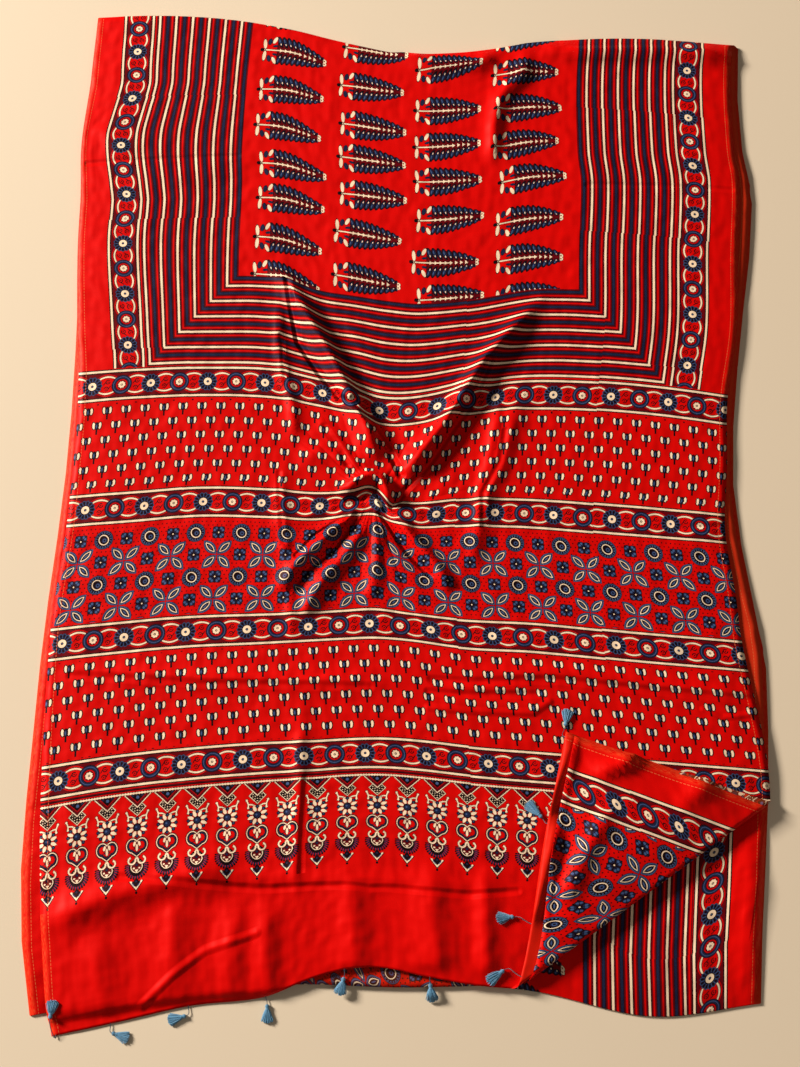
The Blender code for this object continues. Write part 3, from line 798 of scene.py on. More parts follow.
def latticePrint(add, t, s):
    part = lattice
    wide, high = part["wide"], part["high"]
    topEdge = add("COMPARE", s, part["bare"], 8.0)
    t, s = (add("SUBTRACT", value, first) for value, first in zip((t, s), part["first"]))
    row = add("FLOOR", add("DIVIDE", s, part["dots"][1]))
    dotX = centred(add, add("MULTIPLY_ADD", row, part["dots"][0] / 2, t), part["dots"][0])
    dotY = add("WRAP", s, part["dots"][1], 0.0)
    dot = awayFrom(add, dotX, add("SUBTRACT", dotY, part["dots"][1] / 2))
    x, y = centred(add, t, wide), centred(add, s, high)
    otherX = centred(add, add("ADD", t, wide / 2), wide)
    otherY = centred(add, add("ADD", s, high / 2), high)

    # four almond petals on the diagonals of each flower
    ax, ay = add("ABSOLUTE", x), add("ABSOLUTE", otherY)
    petal = almond(add, ax, ay, (12.0, 12.0), part["petals"], 45)
    petal = add("MULTIPLY_ADD", topEdge, 9.0, petal)
    ink = painted(add, 0.0, (dot, 1.15, "black"),
                  (petal, 1.1, "black", 0.98, "pale indigo", 0.78, "indigo", 0.55, "cream", 0.38, "black",
                   0.12, "pale indigo"))

    # a lobed square where both or neither of the halves is passed
    one = add("MAXIMUM", ax, add("ABSOLUTE", y))
    two = add("MAXIMUM", add("ABSOLUTE", otherX), ay)
    second = add("LESS_THAN", two, one)
    squareX = add("ABSOLUTE", add("Mix", second, x, otherX))
    squareY = add("ABSOLUTE", add("Mix", second, y, otherY))
    big, small = add("MAXIMUM", squareX, squareY), add("MINIMUM", squareX, squareY)
    lobes = offLine(add, small, 4.6)
    lobed = add("MULTIPLY_ADD", lobes, 0.2, big)
    slant = add("SUBTRACT", big, small)
    heart = awayFrom(add, squareX, squareY)
    ink = painted(add, ink, (lobed, 10.6, "black", 9.4, "indigo"),
                  (oval(add, big, small, (6.9, 4.0), (2.0, 1.8)), 1.0, "pale indigo"),
                  (add("MAXIMUM", slant, add("SUBTRACT", lobed, 8.8)), 0.55, "black"),
                  (add("MAXIMUM", small, add("SUBTRACT", lobed, 8.8)), 1.0, "black"),
                  (heart, 3.7, "black", 1.2, "cream"))

    # a ringed circle with dark beads
    r = awayFrom(add, otherX, y)
    angle = add("ARCTAN2", y, otherX)
    bead = add("MULTIPLY", centred(add, angle, math.pi / 9), r)
    bead = awayFrom(add, add("SUBTRACT", r, 11.7), bead)
    uneven = add("MULTIPLY_ADD", add("SINE", add("MULTIPLY", angle, 2.0)), 0.6, r)
    inner = awayFrom(add, otherX, y, (1.2, -0.8))
    return painted(add, ink, (r, 15.8, "black", 14.6, "pale indigo", 13.8, "black", 12.9, "pale indigo"),
                   (bead, 1.3, "black"), (r, 10.6, "black"), (uneven, 8.6, "cream", 7.1, "black"),
                   (inner, 4.2, "indigo", 2.9, "pale indigo", 1.8, "black"))


# Temple spires that point to the hem: chevrons, a flower, a heart, a feathered cone and a tip
temple = {
    "first": 10.7,
    "pitch": 45.37,
    "top": 327.0,  # flat length of the dotted line that they hang from
    "flower": 52.3,  # from that line to the flower's middle, as are the next
    "heart": 97.6,  # its point
    "hairs": 44.0,
    "scrolls": 101.8,
    "cone": 112.5,
    "ball": 133.0,
    "tip": 147.0,
    "end": 150.6,
}


def temples(add, t, s):
    part = temple
    x = centred(add, add("SUBTRACT", t, part["first"]), part["pitch"])
    a = add("ABSOLUTE", x)
    y = add("SUBTRACT", part["top"], s)

    # chevrons below the dotted line, the lower one chequered
    slant, fall = add("ADD", y, a), add("SUBTRACT", a, y)
    hung = add("SUBTRACT", 1.0, y)
    upper = add("MAXIMUM", slant, hung)
    outline = add("MAXIMUM", offLine(add, slant, 21.8), hung)
    below = add("SUBTRACT", 21.0, slant)
    box = add("MAXIMUM", add("SUBTRACT", slant, 35.2), add("ADD", fall, 8.6))
    box = add("MAXIMUM", box, below)
    well = add("MAXIMUM", add("SUBTRACT", slant, 33.9), add("ADD", fall, 9.9))
    well = add("MAXIMUM", well, add("ADD", below, 3.0))
    row = add("GREATER_THAN", slant, 28.8)
    cellX = centred(add, add("MULTIPLY_ADD", row, 3.3, fall), 6.6)
    cellY = centred(add, add("SUBTRACT", slant, 26.7), 4.2)
    cell = add("MAXIMUM", add("ABSOLUTE", cellX), add("ABSOLUTE", cellY))
    cell = add("MAXIMUM", cell, add("ADD", well, 1.6))
    ink = painted(add, 0.0, (upper, 20.0, "dark red", 15.4, "red", 14.4, "black"),
                  (awayFrom(add, a, y, (0.0, 6.4)), 2.4, "pale indigo"),
                  (awayFrom(add, a, y, (7.0, 3.6)), 1.9, "indigo"), (box, 1.1, "black", 0.0, "cream"),
                  (well, 0.0, "black"), (cell, 0.95, "cream"), (outline, 2.1, "black", 0.9, "cream"))

    # branches beside the flower
    bend, fork = (8.2, 35.8), (13.6, 35.2)
    branch = stroke(add, a, y, (2.4, 38.8), bend)
    for start, end in ((bend, fork), (fork, (16.0, 29.2)), (fork, (13.8, 40.2))):
        branch = add("MINIMUM", branch, stroke(add, a, y, start, end))
    ends = add("MINIMUM", awayFrom(add, a, y, (16.2, 28.8)), awayFrom(add, a, y, (13.8, 40.4)))
    branch = add("MINIMUM", branch, add("SUBTRACT", ends, 0.7))
    ink = painted(add, ink, (branch, 1.9, "black", 0.95, "cream"))

    # the flower, with buds between its pointed petals
    fromFlower = add("SUBTRACT", part["flower"], y)
    angle = add("ARCTAN2", fromFlower, x)
    r = awayFrom(add, x, fromFlower)
    for turn, petal in ((0.0, False), (math.pi / 8, True)):
        sector = centred(add, add("ADD", angle, turn), math.pi / 4)
        px = add("MULTIPLY", r, add("COSINE", sector))
        py = add("ABSOLUTE", add("MULTIPLY", r, add("SINE", sector)))
        if petal:
            reach = almond(add, px, py, (10.3, 0.0), (5.6, 2.6))
            ink = painted(add, ink, (reach, 1.26, "black", 1.0, "cream"))
        else:
            reach = awayFrom(add, px, py, (13.4, 0.0))
            ink = painted(add, ink, (reach, 2.9, "black", 2.0, "indigo", 0.7, "pale indigo"))
    light = awayFrom(add, x, fromFlower, (-1.2, 0.6))
    ink = painted(add, ink, (r, 6.3, "black", 4.4, "indigo"), (light, 1.5, "pale indigo"))

    # the heart, with hairs all round
    point = add("SUBTRACT", y, part["heart"])
    side = add("MULTIPLY_ADD", a, 0.64, add("MULTIPLY", point, 0.768))
    side = add("MAXIMUM", add("MULTIPLY_ADD", side, 0.1, 1.0), add("MULTIPLY_ADD", point, -5.0, -61.0))
    heart = add("MINIMUM", oval(add, a, point, (7.0, -18.1), (9.4, 11.2)), side)
    hair = add("MULTIPLY", add("ARCTAN2", add("ADD", point, 16.0), x), part["hairs"] / (2 * math.pi))
    hair = add("ABSOLUTE", centred(add, hair, 1.0))
    hairs = add("MULTIPLY_ADD", hair, 0.3, heart)
    leafs = oval(add, a, point, (3.6, -20.6), (1.8, 3.8), -14)
    stem = oval(add, a, point, (0.0, -14.6), (1.8, 5.4))
    ink = painted(add, ink, (hairs, 1.2, "black"),
                  (heart, 1.04, "black", 0.97, "cream", 0.85, "black", 0.7, "indigo", 0.56, "black",
                   0.48, "red"),
                  (leafs, 1.4, "dark red"), (stem, 1.4, "dark red"),
                  (leafs, 1.0, "cream"), (stem, 1.0, "cream"))

    # the feathered cone with its shield, under a pair of scrolls
    fromCone = add("SUBTRACT", y, part["cone"])
    vane = add("MULTIPLY", add("ARCTAN2", a, add("ADD", fromCone, 5.0)), 5.2)
    vane = add("ABSOLUTE", centred(add, vane, 1.0))
    body = add("MULTIPLY_ADD", vane, 0.2, oval(add, a, fromCone, (0.0, 0.0), (17.4, 17.6)))
    body = add("MAXIMUM", body, add("MULTIPLY_ADD", fromCone, -0.12, 0.44))
    gap = add("MAXIMUM", add("SUBTRACT", 0.5, vane), add("SUBTRACT", body, 1.0))
    shield = add("MULTIPLY_ADD", add("MAXIMUM", fromCone, 0.0), 0.035,
                 oval(add, a, fromCone, (0.0, 0.6), (9.0, 11.0)))
    beak = add("MAXIMUM", add("MULTIPLY_ADD", fromCone, 0.6, a), add("SUBTRACT", 8.2, fromCone))
    diamond = add("ADD", a, add("ABSOLUTE", add("ADD", fromCone, 3.4)))
    ink = painted(add, ink, (body, 1.1, "black", 0.96, "indigo"), (gap, 0.1, "red"),
                  (oval(add, a, fromCone, (0.0, 0.0), (11.5, 13.5)), 1.0, "black"),
                  (shield, 1.02, "cream", 0.88, "black", 0.74, "dark red"),
                  (oval(add, a, fromCone, (4.2, 1.2), (1.6, 1.2), 14), 1.0, "cream"),
                  (add("MAXIMUM", beak, add("SUBTRACT", 4.2, fromCone)), 4.8, "cream"),
                  (diamond, 3.4, "black", 2.2, "indigo"))
    scrollY = add("SUBTRACT", y, part["scrolls"])
    ring = offLine(add, awayFrom(add, a, scrollY, (7.4, 0.0)), 5.3)
    mouth = add("MINIMUM", add("SUBTRACT", -0.4, scrollY), add("SUBTRACT", 10.6, a))
    curl = add("MINIMUM", add("MAXIMUM", ring, mouth), awayFrom(add, a, scrollY, (10.2, -3.6)))
    curl = add("MINIMUM", curl, stroke(add, a, scrollY, (2.2, -0.4), (0.9, -3.4)))
    ink = painted(add, ink, (curl, 1.9, "black", 1.15, "cream"))

    # the tip: a dark ball in a pointed cream cup, and a dot
    cup = add("MULTIPLY_ADD", a, 0.8, add("MULTIPLY", add("SUBTRACT", y, part["tip"]), 0.6))
    above = add("SUBTRACT", part["ball"] + 1.4, y)
    brim = add("MAXIMUM", add("ABSOLUTE", add("ADD", cup, 1.2)), above)
    inside = add("MAXIMUM", cup, above)
    return topLines(add, t, y, painted(add, ink, (inside, 1.2, "black"), (brim, 1.0, "cream"),
                                       (awayFrom(add, a, y, (8.0, part["ball"] + 1.0)), 1.3, "cream"),
                                       (stroke(add, a, y, (2.6, 140.6), (6.2, 136.0)), 0.6, "pale indigo"),
                                       (awayFrom(add, a, y, (0.0, part["ball"])), 3.6, "black"),
                                       (awayFrom(add, a, y, (0.0, part["ball"] + 1.0)), 1.6, "indigo"),
                                       (awayFrom(add, a, y, (0.0, part["end"])), 1.9, "black")))


def topLines(add, t, y, ink):
    # above the temples: a dotted cream line, and dark red with a black line in it
    dots = add("MULTIPLY_ADD", add("ABSOLUTE", centred(add, t, 4.2)), -0.5, add("ABSOLUTE", y))
    return painted(add, ink, (y, -1.2, "dark red"), (add("ABSOLUTE", add("ADD", y, 5.4)), 0.9, "black"),
                   (add("ABSOLUTE", add("ADD", y, 3.2)), 0.7, "red"), (add("ABSOLUTE", y), 2.3, "black"),
                   (dots, 0.8, "cream"))


# Cones of leaves in four columns, pointing across the cloth
leaf = {
    "first": 295.0,
    "pitch": 135.0,
    "stem": 0.09,  # share of the pitch kept clear before each stem
    "length": 0.95,
    "rowApart": 70.6,
    "low": 1161.0,
    "columns": (-5.0, 34.0, 3.0, -13.0),  # how far up each column starts
    "jitter": 11.0,
    "lobe": 8.1,  # from one leaflet to the next
    "lobesFrom": 25.0,
    "lobesTo": 101.0,
    "half": 26.5,  # height of the cone's half
}


def leaves(add, t, s):
    part = leaf
    # the stem's place in a pitch leaves room for the jitter on both sides
    passed = add("MULTIPLY_ADD", t, 1 / part["pitch"], part["stem"] - part["first"] / part["pitch"])
    column = add("FLOOR", passed)
    up = float(part["columns"][0])
    for number, start in enumerate(part["columns"][1:], 1):
        up = add("Mix", add("GREATER_THAN", column, number - 0.5), up, start)
    height = add("DIVIDE", add("SUBTRACT", add("SUBTRACT", s, part["low"]), up), part["rowApart"])
    row = add("FLOOR", height)
    chance = add("TexWhiteNoise", add("CombineXYZ", column, row, 0.0)).node.outputs["Color"]
    chance = add("SeparateXYZ", add("VectorMath.SUBTRACT", chance, (0.5, 0.5, 0.5)))
    x = add("SUBTRACT", add("SUBTRACT", passed, column), part["stem"])
    x = add("MULTIPLY", x, part["pitch"] * part["length"])
    x = add("MULTIPLY_ADD", chance, part["jitter"], x)
    y = add("MULTIPLY", add("SUBTRACT", add("SUBTRACT", height, row), 0.5), part["rowApart"])
    y = add("MULTIPLY_ADD", chance.node.outputs["Y"], part["jitter"], y)
    y = add("MULTIPLY_ADD", add("MULTIPLY", chance.node.outputs["Z"], x), 0.12, y)
    a = add("ABSOLUTE", y)

    # a cone of leaflets, round at the stem and tapering to the tip
    share = add("MAXIMUM", add("MULTIPLY", add("SUBTRACT", x, 34.0), 1 / 70.0), 0.0)
    half = add("MAXIMUM", add("MULTIPLY_ADD", add("POWER", share, 1.7), -18.0, part["half"]), 4.0)
    ends = add("MAXIMUM", add("SUBTRACT", part["lobesFrom"], x), add("SUBTRACT", x, part["lobesTo"]))
    lobe = centred(add, add("MULTIPLY_ADD", a, 0.26, x), part["lobe"])
    rise = add("DIVIDE", a, half)
    body = add("MAXIMUM", add("MULTIPLY_ADD", rise, 26.0, -24.0), ends)
    near = add("MULTIPLY", add("GREATER_THAN", ends, 1.5), 4.0)
    leaflet = add("ADD", oval(add, lobe, rise, (0.0, 0.64), (3.6, 0.35)), near)
    edge = add("ADD", rise, near)
    ink = painted(add, 0.0, (body, 0.0, "dark red"), (edge, 0.46, "black", 0.42, "dark red"),
                  (leaflet, 1.16, "black", 0.84, "indigo"))
    for centre, halves, dye in (
        ((-0.7, 0.72), (0.8, 0.13), "pale indigo"),
        ((0.3, 0.47), (0.8, 0.07), "cream"),
        ((1.4, 0.27), (2.1, 0.05), "black"),
    ):
        ink = painted(add, ink, (add("ADD", oval(add, lobe, rise, centre, halves), near), 1.0, dye))

    # the midrib with its barbs, loose near the tip
    barbX = centred(add, x, part["lobe"])
    barb = add("MAXIMUM", add("MULTIPLY_ADD", barbX, 0.75, a), add("SUBTRACT", -3.0, barbX))
    barb = add("MAXIMUM", barb, add("SUBTRACT", offLine(add, x, 58.0), 34.0))
    rib = add("MAXIMUM", add("SUBTRACT", a, 1.1), add("SUBTRACT", offLine(add, x, 33.0), 31.0))
    ink = painted(add, ink, (barb, 1.5, "black"), (rib, 0.9, "black"), (barb, 0.7, "cream"),
                  (rib, 0.0, "cream"))

    # at the stem: cream blades, dark buds and slanted leaves; a split crescent at the tip
    for centre, halves, turn, dye in (
        ((3.4, 11.4), (2.8, 9.4), 5, "cream"),
        ((11.2, 16.4), (3.1, 5.6), -10, "indigo"),
        ((19.4, 19.6), (2.8, 6.8), -24, "cream"),
        ((20.5, 8.2), (3.8, 2.0), 12, "indigo"),
    ):
        reach = oval(add, x, a, centre, halves, turn)
        ink = painted(add, ink, (reach, 1.2, "black", 1.0, dye))
    hook = offLine(add, awayFrom(add, x, a, (103.6, 2.7)), 2.3)
    hook = add("MAXIMUM", hook, add("SUBTRACT", 103.0, x))
    knot = awayFrom(add, x, y, (-0.6, 0.0))
    ink = painted(add, ink, (hook, 1.8, "black", 1.1, "cream"), (knot, 3.4, "black"))
    # only in the four columns
    inside = add("LESS_THAN", offLine(add, column, 1.5), 2.0)
    return add("MULTIPLY", ink, inside)


def plainGround(add, t, s):
    return 0.0


# Wrinkles too fine for the mesh: the prints they cross, height, half width, points by flat place on the cloth
wrinkles = (
    ("plain end", 2.0, 5.0, ((147, 15), (193, 46), (248, 78), (326, 96))),
    ("plain end temples", -2.0, 4.4, ((122, 205), (243, 177), (498, 133), (650, 144), (722, 157))),
    ("temples", -1.8, 3.8, ((402, 330), (397, 229), (395, 172))),
    ("tulips", -1.8, 4.4, ((598, 471), (766, 484))),
    ("tulips", 1.6, 4.4, ((596, 445), (758, 453), (785, 474))),
    ("tulips", -2.2, 5.0, ((605, 492), (805, 511), (945, 508), (1106, 507))),
    ("tulips", 1.5, 3.8, ((1022, 483), (1050, 472), (1097, 483))),
    ("tulips", -1.9, 5.0, ((38, 527), (241, 493), (507, 473))),
    ("tulips rosette rows", -2.5, 4.4, ((730, 940), (722, 885), (697, 828), (701, 757))),
    ("stripes rosette rows tulips", -6.8, 4.5,
     ((696, 1070), (669, 994), (639, 954), (608, 905), (572, 855), (545, 811))),
    ("stripes rosette rows tulips", -6.0, 4.5,
     ((348, 1212), (360, 1143), (372, 1086), (408, 1042), (445, 1003), (473, 992))),
    ("tulips rosette rows", -6.8, 5.0, ((471, 1002), (502, 972), (533, 927), (556, 875))),
    ("tulips", -2.5, 5.0, ((422, 943), (453, 902), (464, 875))),
    ("rosette rows lattice", -6.8, 4.5, ((485, 769), (449, 712), (408, 683), (383, 646))),
    ("rosette rows lattice", -5.2, 4.0, ((472, 770), (419, 740), (390, 705))),
    ("rosette rows lattice", -6.0, 4.5, ((527, 777), (550, 751), (572, 725), (609, 681))),
    ("rosette rows", -6.8, 4.5, ((470, 804), (496, 794), (516, 816), (535, 790))),
    ("rosette rows", -1.5, 3.8, ((1032, 791), (1101, 800))),
    ("plain margin side border stripes", -1.3, 3.8, ((14, 1406), (264, 1413))),
    ("plain margin side border stripes", -1.3, 3.8, ((850, 1384), (1093, 1400))),
    ("stripes rosette rows", -1.9, 3.8, ((343, 1089), (352, 1010))),
    ("rosette rows tulips lattice", -1.6, 3.8, ((350, 850), (354, 812), (367, 728))),
)
crumple = {
    "centre": (513.0, 812.0),  # the pinch, from which fine folds run out
    "folds": 4.5,  # how closely they follow one another round it
    "foldHeight": 4.5,
    "foldReach": (25.0, 330.0),
    # for each soft noise: scale across and along, in mm, and its height
    "noises": (((85.0, 110.0), 1.7), ((60.0, 330.0), 0.4), ((330.0, 60.0), 0.3)),
}


def stretched(add, flat, wide, high):
    return add("VectorMath.MULTIPLY", flat, (1 / wide, 1 / high, 1.0))


def wrinkled(add, flat, printName):
    # height in mm of the slubs, the soft crumpling and the fine wrinkles
    height = add("TexNoise", stretched(add, flat, silk["thread"], silk["slubLength"]), None, 1.0, 1.0)
    height = add("MULTIPLY", height, silk["slubHeight"])
    for (wide, high), rise in crumple["noises"]:
        spot = stretched(add, flat, wide, high)
        height = add("MULTIPLY_ADD", add("TexNoise", spot, None, 1.0, 0.0), rise, height)
    way = add("VectorMath.SUBTRACT", flat, (*crumple["centre"], 0.0))
    away = add("VectorMath.LENGTH", way)
    around = add("VectorMath.NORMALIZE", way)
    ray = offLine(add, add("TexNoise", around, None, crumple["folds"], 0.0), 0.5)
    near, far = crumple["foldReach"]
    fade = [add("MapRange", away, *span, 0.0, 1.0) for span in ((near, 3 * near), (far, near))]
    fade = add("MULTIPLY", *fade)
    height = add("MULTIPLY_ADD", add("MULTIPLY", ray, fade), crumple["foldHeight"] * 2, height)
    t = add("SeparateXYZ", flat)
    s = t.node.outputs["Y"]
    for names, rise, half, path in wrinkles:
        if any(printName.startswith(name) and name in names for name in drawings):
            reach = None
            for start, end in zip(path, path[1:]):
                part = stroke(add, t, s, start, end)
                reach = part if reach is None else add("MINIMUM", reach, part)
            profile = add("MapRange", reach, 0.0, 2 * half, rise, 0.0, interpolation_type="SMOOTHSTEP")
            height = add("ADD", height, profile)
    return height


def dyedSilk(name, draw, reverse=None):
    # Modal silk in a satin weave, block-printed by hand: a soft gloss over dyes sunk into the threads
    made, tree = newMaterial(name)
    tree.nodes.clear()
    add = functools.partial(addNode, tree)
    flat = add("VectorMath.MULTIPLY", add("UVMap", uv_map="flat"), (1 / mm, 1 / mm, 0.0))
    wander = add("TexNoise", flat, None, 1 / silk["bleedSize"], 1.0).node.outputs["Color"]
    wander = add("VectorMath.SUBTRACT", wander, (0.5, 0.5, 0.5))
    moved = add("VectorMath.MULTIPLY_ADD", wander, (silk["bleed"], silk["bleed"], 0.0), flat)
    # neighbouring blocks of the print miss each other a little
    block = add("VectorMath.MULTIPLY_ADD", flat, (1 / silk["blockWide"],) * 3, silk["blockStart"])
    block = add("SeparateXYZ", add("VectorMath.FLOOR", block))
    slips = [add("TexWhiteNoise", add("CombineXYZ", number, 0.5, 0.0))
             for number in (block.node.outputs["Y"], block)]
    slip = add("VectorMath.SUBTRACT", add("CombineXYZ", *slips, 0.5), (0.5, 0.5, 0.5))
    moved = add("VectorMath.MULTIPLY_ADD", slip, (silk["blockSlip"], silk["blockSlip"], 0.0), moved)
    t = add("SeparateXYZ", moved)
    ink = draw(add, t, t.node.outputs["Y"])

    # running stitches along the hems
    plain = add("SeparateXYZ", flat)
    fromSide = add("SUBTRACT", cloth["width"] / 2, offLine(add, plain, cloth["width"] / 2))
    seam = offLine(add, fromSide, silk["stitchIn"])
    dash = add("ABSOLUTE", centred(add, plain.node.outputs["Y"], silk["stitchPitch"]))
    dashHalf = silk["stitchPitch"] * silk["stitchShare"]
    seam = add("MAXIMUM", seam, add("SUBTRACT", dash, dashHalf - silk["stitchHalf"]))
    ink = painted(add, ink, (seam, silk["stitchHalf"], "stitch"))

    colour = add("ValToRGB", add("MULTIPLY_ADD", ink, 1 / len(dyes), 0.5 / len(dyes)))
    ramp = colour.node.color_ramp
    ramp.interpolation = "CONSTANT"
    while len(ramp.elements) < len(dyes):
        ramp.elements.new(0.999)
    for number, text in enumerate(dyes.values()):
        ramp.elements[number].position = number / len(dyes)
        ramp.elements[number].color = linearColour(text)

    # indigo takes unevenly, and the ground is a little patchy
    washed, shade = (add("MapRange", add("TexNoise", flat, None, fine, 3.0, rough), *span)
                     for fine, rough, *span in (silk["wash"], silk["patches"]))
    washed = add("MULTIPLY", add("COMPARE", ink, dyeNumbers["indigo"], 0.1), washed)
    colour = add("Mix", washed, colour, linearColour(dyes["pale indigo"]), data_type="RGBA")
    colour = add("HueSaturation", None, None, shade, None, colour)
    # the hems are worn to orange, and the wrong side is paler all over
    share = reverse or 0.0
    if draw is plainGround:
        worn = add("TexNoise", stretched(add, flat, *silk["wear"]), None, 1.0, 2.0)
        worn = add("MapRange", worn, *silk["wearSpan"], 0.0, silk["worn"])
        edge = add("MapRange", fromSide, silk["wornIn"], 0.5 * silk["wornIn"], 0.0, 1.0)
        share = add("MAXIMUM", add("MULTIPLY", worn, edge), share)
    if reverse is not None:
        colour = add("HueSaturation", None, None, silk["reverseShade"], None, colour)
    colour = add("Mix", share, colour, linearColour(silk["reverse"]), data_type="RGBA")

    bump = add("Bump", 1.0, 1.0, None, add("MULTIPLY", wrinkled(add, flat, name), mm))
    shader = tree.nodes.new("ShaderNodeBsdfPrincipled")
    tree.links.new(colour, shader.inputs["Base Color"])
    tree.links.new(bump, shader.inputs["Normal"])
    shader.inputs["Roughness"].default_value = silk["roughness"]
    shader.inputs["Specular IOR Level"].default_value = silk["specular"]
    shader.inputs["Specular Tint"].default_value = linearColour(silk["tint"])
    output = tree.nodes.new("ShaderNodeOutputMaterial")
    tree.links.new(shader.outputs[0], output.inputs[0])
    return made


drawings = {  # what draws each print, and how far its wrong side turns to the reverse's colour
    "plain end": (plainGround, 0.06),
    "plain margin": (plainGround, 0.22),
    "temples": (temples, 0.2),
    "rosette rows": (endRows, 0.2),
    "tulips": (tulips, 0.3),
    "lattice": (latticePrint, 0.08),
    "stripes": (stripes, 0.3),
    "side border": (sideBorder, 0.3),
    "leaves": (leaves, 0.3),
}
prints = {
    name: (dyedSilk(name + " on satin silk", draw), dyedSilk(name + " from behind", draw, share))
    for name, (draw, share) in drawings.items()
}
print("prints made:", ", ".join(prints))

sareeCloth, clothLength = makeCloth(prints)
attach(sareeCloth, "root")
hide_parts("cloth")
print("cloth made, flat length", round(clothLength), "mm")


# Ten thread tassels along the hem
tassel = {
    "thread": 0.6,  # radius in mm, as are the two below
    "strand": 0.5,
    "winding": 0.45,
    "strands": 80,
    "turns": 9,  # of the winding round the neck
    "fan": 9.6,  # half width of the skirt's end
    "depth": 4.4,  # of the skirt
    "skirtSteps": 6,
    "threadSteps": 8,
    # sections of the wound neck: how far along, half width and half height
    "neck": ((0.0, 1.3, 1.3), (2.2, 3.0, 2.4), (5.4, 2.4, 1.9), (8.0, 3.2, 2.3)),
    "clear": 0.2,  # above what it lies on
    "overhang": 9.0,  # how far a skirt sticks out past the layers before it comes down
    "spiral": 0.618,  # turn from one strand to the next, which spreads them evenly
    "lengths": (0.9, 1.05),  # shares of the skirt's length that a strand may have
    "shorter": 0.12,  # share by which the outer strands are shorter
    "wave": 0.8,
    "bound": (2.4, 1.7),  # half width and half height of the bundle under the neck
    "flatter": 0.25,  # share by which the skirt is flatter at its end
    "drop": 0.45,  # share of the skirt over which it comes down from the neck
}
# Place across the hem, neck, end of the skirt, and what it lies on
tasselTable = (
    (0.006, (-523, -818), (-519, -791), "first"),
    (0.085, (-433, -838), (-407, -846), "floor"),
    (0.196, (-326, -814), (-353, -821), "floor"),
    (0.304, (-208, -798), (-207, -825), "floor"),
    (0.414, (-96, -760), (-103, -786), "third"),
    (0.531, (30, -769), (34, -796), "third"),
    (0.668, (138, -750), (113, -768), "first"),
    (0.738, (154, -674), (127, -676), "first"),
    (0.872, (199, -529), (176, -506), "first"),
    (0.992, (238, -391), (243, -364), "first"),
)


def bezier(points, t):
    weights = ((1 - t) ** 3, 3 * t * (1 - t) ** 2, 3 * t * t * (1 - t), t**3)
    return sum((point * weight for point, weight in zip(points, weights)), Vector())


def hemPoint(u):
    # the middle of the hem's edge and the way out from it
    edge, inner = (Vector(settled(*place(u, row)[:3], "first")) for row in (0, 1))
    return edge, (edge - inner).normalized()


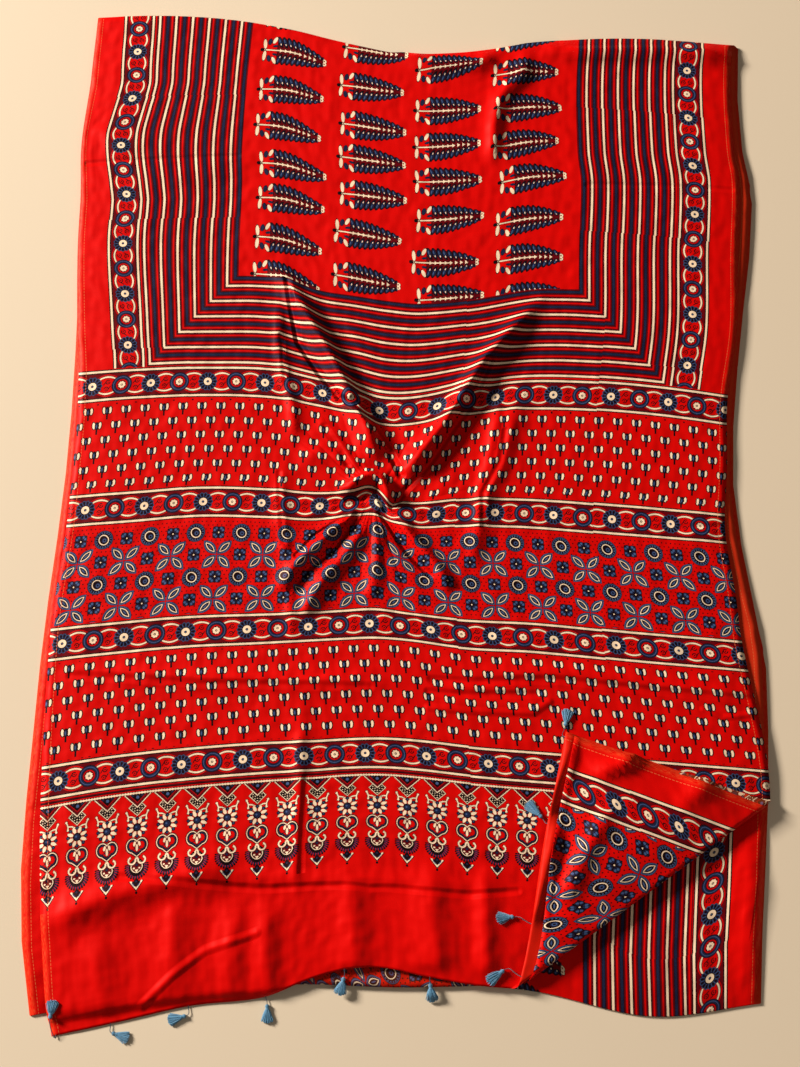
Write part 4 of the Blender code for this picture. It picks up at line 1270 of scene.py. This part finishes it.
def makeTassel(number, across, neck, end, layer, finishes):
    dice = random.Random(number)
    half = cloth["thick"] / 2 + tassel["clear"]

    def resting(point):
        if layer == "first":
            return topSurface(point.x, point.y) + half
        if layer == "third":
            top = cloth["levels"]["third"] + half
            return fallen(point.x, point.y + tassel["overhang"], top, tassel["clear"])
        return tassel["clear"]

    neck, end = Vector((*neck, 0)), Vector((*end, 0))
    along = (end - neck).normalized()
    side = along.cross(Vector((0, 0, 1)))
    neckLength, _, neckHigh = tassel["neck"][-1]
    neck.z = resting(neck) + max(high for _, _, high in tassel["neck"])

    strands = bpy.data.curves.new("strands", "CURVE")
    strands.dimensions = "3D"
    strands.bevel_depth = 1.0
    strands.bevel_resolution = 0
    strands.use_fill_caps = True

    def addStrand(points, radius):
        spline = strands.splines.new("POLY")
        spline.points.add(len(points) - 1)
        for made, spot in zip(spline.points, points):
            made.co = (*spot, 1.0)
            made.radius = radius

    # the thread that it hangs from, sewn into the hem
    edge, out = hemPoint(across)
    reach = (neck - edge).length / 2
    route = (edge, edge + out * reach, neck - along * reach, neck + along)
    thread = [edge - out * 1.5]
    for n in range(tassel["threadSteps"] + 1):
        spot = bezier(route, n / tassel["threadSteps"])
        spot.z = max(spot.z, resting(spot) + tassel["thread"] - half)
        thread.append(spot)
    addStrand(thread, tassel["thread"])

    # the skirt's threads, bound together at the neck and spread out on what they lie on
    length = (end - neck.xy.to_3d()).length
    boundWide, boundHigh = tassel["bound"]
    for n in range(tassel["strands"]):
        turn = 2 * math.pi * tassel["spiral"] * n
        far = math.sqrt((n + 0.5) / tassel["strands"])
        sideways, upwards = far * math.cos(turn), far * math.sin(turn)
        reach = length * dice.uniform(*tassel["lengths"]) * (1 - tassel["shorter"] * sideways**2)
        wave = dice.uniform(-tassel["wave"], tassel["wave"])
        strand = [neck + along * 1.0 + side * sideways + Vector((0, 0, upwards))]
        for step in range(tassel["skirtSteps"] + 1):
            share = step / tassel["skirtSteps"]
            spread = share**0.8
            spot = neck + along * (neckLength - 1.5 + (reach - neckLength) * share)
            wide = boundWide + (tassel["fan"] - boundWide) * spread
            spot += side * (sideways * wide + wave * math.sin(3 * share + n))
            lowest = resting(spot) + tassel["strand"]
            high = neck.z + upwards * boundHigh
            low = lowest + (upwards + 1) / 2 * tassel["depth"] * (1 - tassel["flatter"] * share)
            spot.z = max(high + (low - high) * ease(share / tassel["drop"]), lowest)
            strand.append(spot)
        addStrand(strand, tassel["strand"])

    # the winding round the neck
    winding = []
    stations, widths, heights = zip(*tassel["neck"])
    for n in range(tassel["turns"] * 10 + 1):
        turn, share = 2 * math.pi * n / 10, n / (tassel["turns"] * 10)
        far = share * neckLength
        wide, high = smoothAt(stations, widths, far), smoothAt(stations, heights, far)
        spot = neck + along * far + side * (wide * math.cos(turn)) + Vector((0, 0, high * math.sin(turn)))
        spot.z = max(spot.z, resting(spot) + tassel["winding"])
        winding.append(spot)
    addStrand(winding, tassel["winding"])

    shape = placed("strands", strands)
    shapeMesh = bpy.data.meshes.new_from_object(shape.evaluated_get(bpy.context.evaluated_depsgraph_get()))
    bpy.data.objects.remove(shape)
    bm = bmesh.new()
    bm.from_mesh(shapeMesh)
    bpy.data.meshes.remove(shapeMesh)
    bmesh.ops.recalc_face_normals(bm, faces=bm.faces)
    for face in bm.faces:
        face.material_index = int((face.calc_center_median() - neck).dot(along) < 0)
    piece = finished(f"hemTassel{number}", bm)
    for finish in finishes:
        piece.data.materials.append(finish)
    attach(piece, "root")
    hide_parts(f"tassel_{number}")


def tasselThread(name, dark, light):
    # Rayon thread, loosely twisted: a bright fibre, lighter where the strands catch the light
    made, tree = newMaterial(name)
    shader = tree.nodes["Principled BSDF"]
    add = functools.partial(addNode, tree)
    spot = add("TexCoord").node.outputs["Object"]
    uneven = add("TexNoise", spot, None, 420.0, 2.0)
    ramp = add("ValToRGB", uneven)
    colours = ramp.node.color_ramp.elements
    colours[0].position, colours[1].position = 0.3, 0.72
    colours[0].color, colours[1].color = linearColour(dark), linearColour(light)
    tree.links.new(ramp, shader.inputs["Base Color"])
    shader.inputs["Roughness"].default_value = 0.5
    shader.inputs["Sheen Weight"].default_value = 0.3
    return made


threadFinishes = (tasselThread("twisted rayon thread", "#28607E", "#6FA2BA"),
                  tasselThread("dark rayon thread", "#0C1420", "#26384A"))
for number, row in enumerate(tasselTable, 1):
    makeTassel(number, *row, threadFinishes)
print("tassels made:", len(tasselTable))


# Floor, light and camera
studio = {
    "floor": "#DCC3A2",
    "floorHalf": 6.0,  # metres, as are the lights' places and sizes
    "floorRoughness": 0.85,
    "key": ((-7.5, 3.5, 3.45), 1.8, 1930.0),  # place, size and power
    "fill": ((1.8, -1.6, 2.6), 2.4, 10.0),
    "world": ((1.0, 0.98, 0.95, 1.0), 0.11),  # colour and strength
}


def makeFloor():
    bm = bmesh.new()
    bmesh.ops.create_grid(bm, x_segments=1, y_segments=1, size=studio["floorHalf"])
    piece = placed("floor", meshFrom("floor", bm))
    # matt painted board: a plain pale ground with no pattern and hardly any gloss
    made, tree = newMaterial("matt painted floor")
    shader = tree.nodes["Principled BSDF"]
    shader.inputs["Base Color"].default_value = linearColour(studio["floor"])
    shader.inputs["Roughness"].default_value = studio["floorRoughness"]
    piece.data.materials.append(made)


def makeLight(name, spot, size, power):
    lamp = bpy.data.lights.new(name, "AREA")
    lamp.size = size
    lamp.energy = power
    made = placed(name, lamp)
    made.location = spot
    made.rotation_euler = (-Vector(spot)).to_track_quat("-Z", "Y").to_euler()


makeFloor()
for name in ("key", "fill"):
    makeLight(name, *studio[name])
world = bpy.data.worlds.new("studio")
world.use_nodes = True
for socket, value in zip(world.node_tree.nodes["Background"].inputs, studio["world"]):
    socket.default_value = value
bpy.context.scene.world = world
bpy.context.scene.view_settings.view_transform = "Standard"

view = {
    "place": (-0.0124, -0.7812, 2.4388),
    "lean": 16.0,  # degrees from straight down, looking up the cloth
    "lens": 53.98,
}
lens = bpy.data.cameras.new("camera")
lens.lens = view["lens"]
lens.sensor_width = 36.0
camera = placed("camera", lens)
camera.location = view["place"]
camera.rotation_euler = (math.radians(view["lean"]), 0.0, 0.0)
bpy.context.scene.camera = camera
print("camera and lights set")
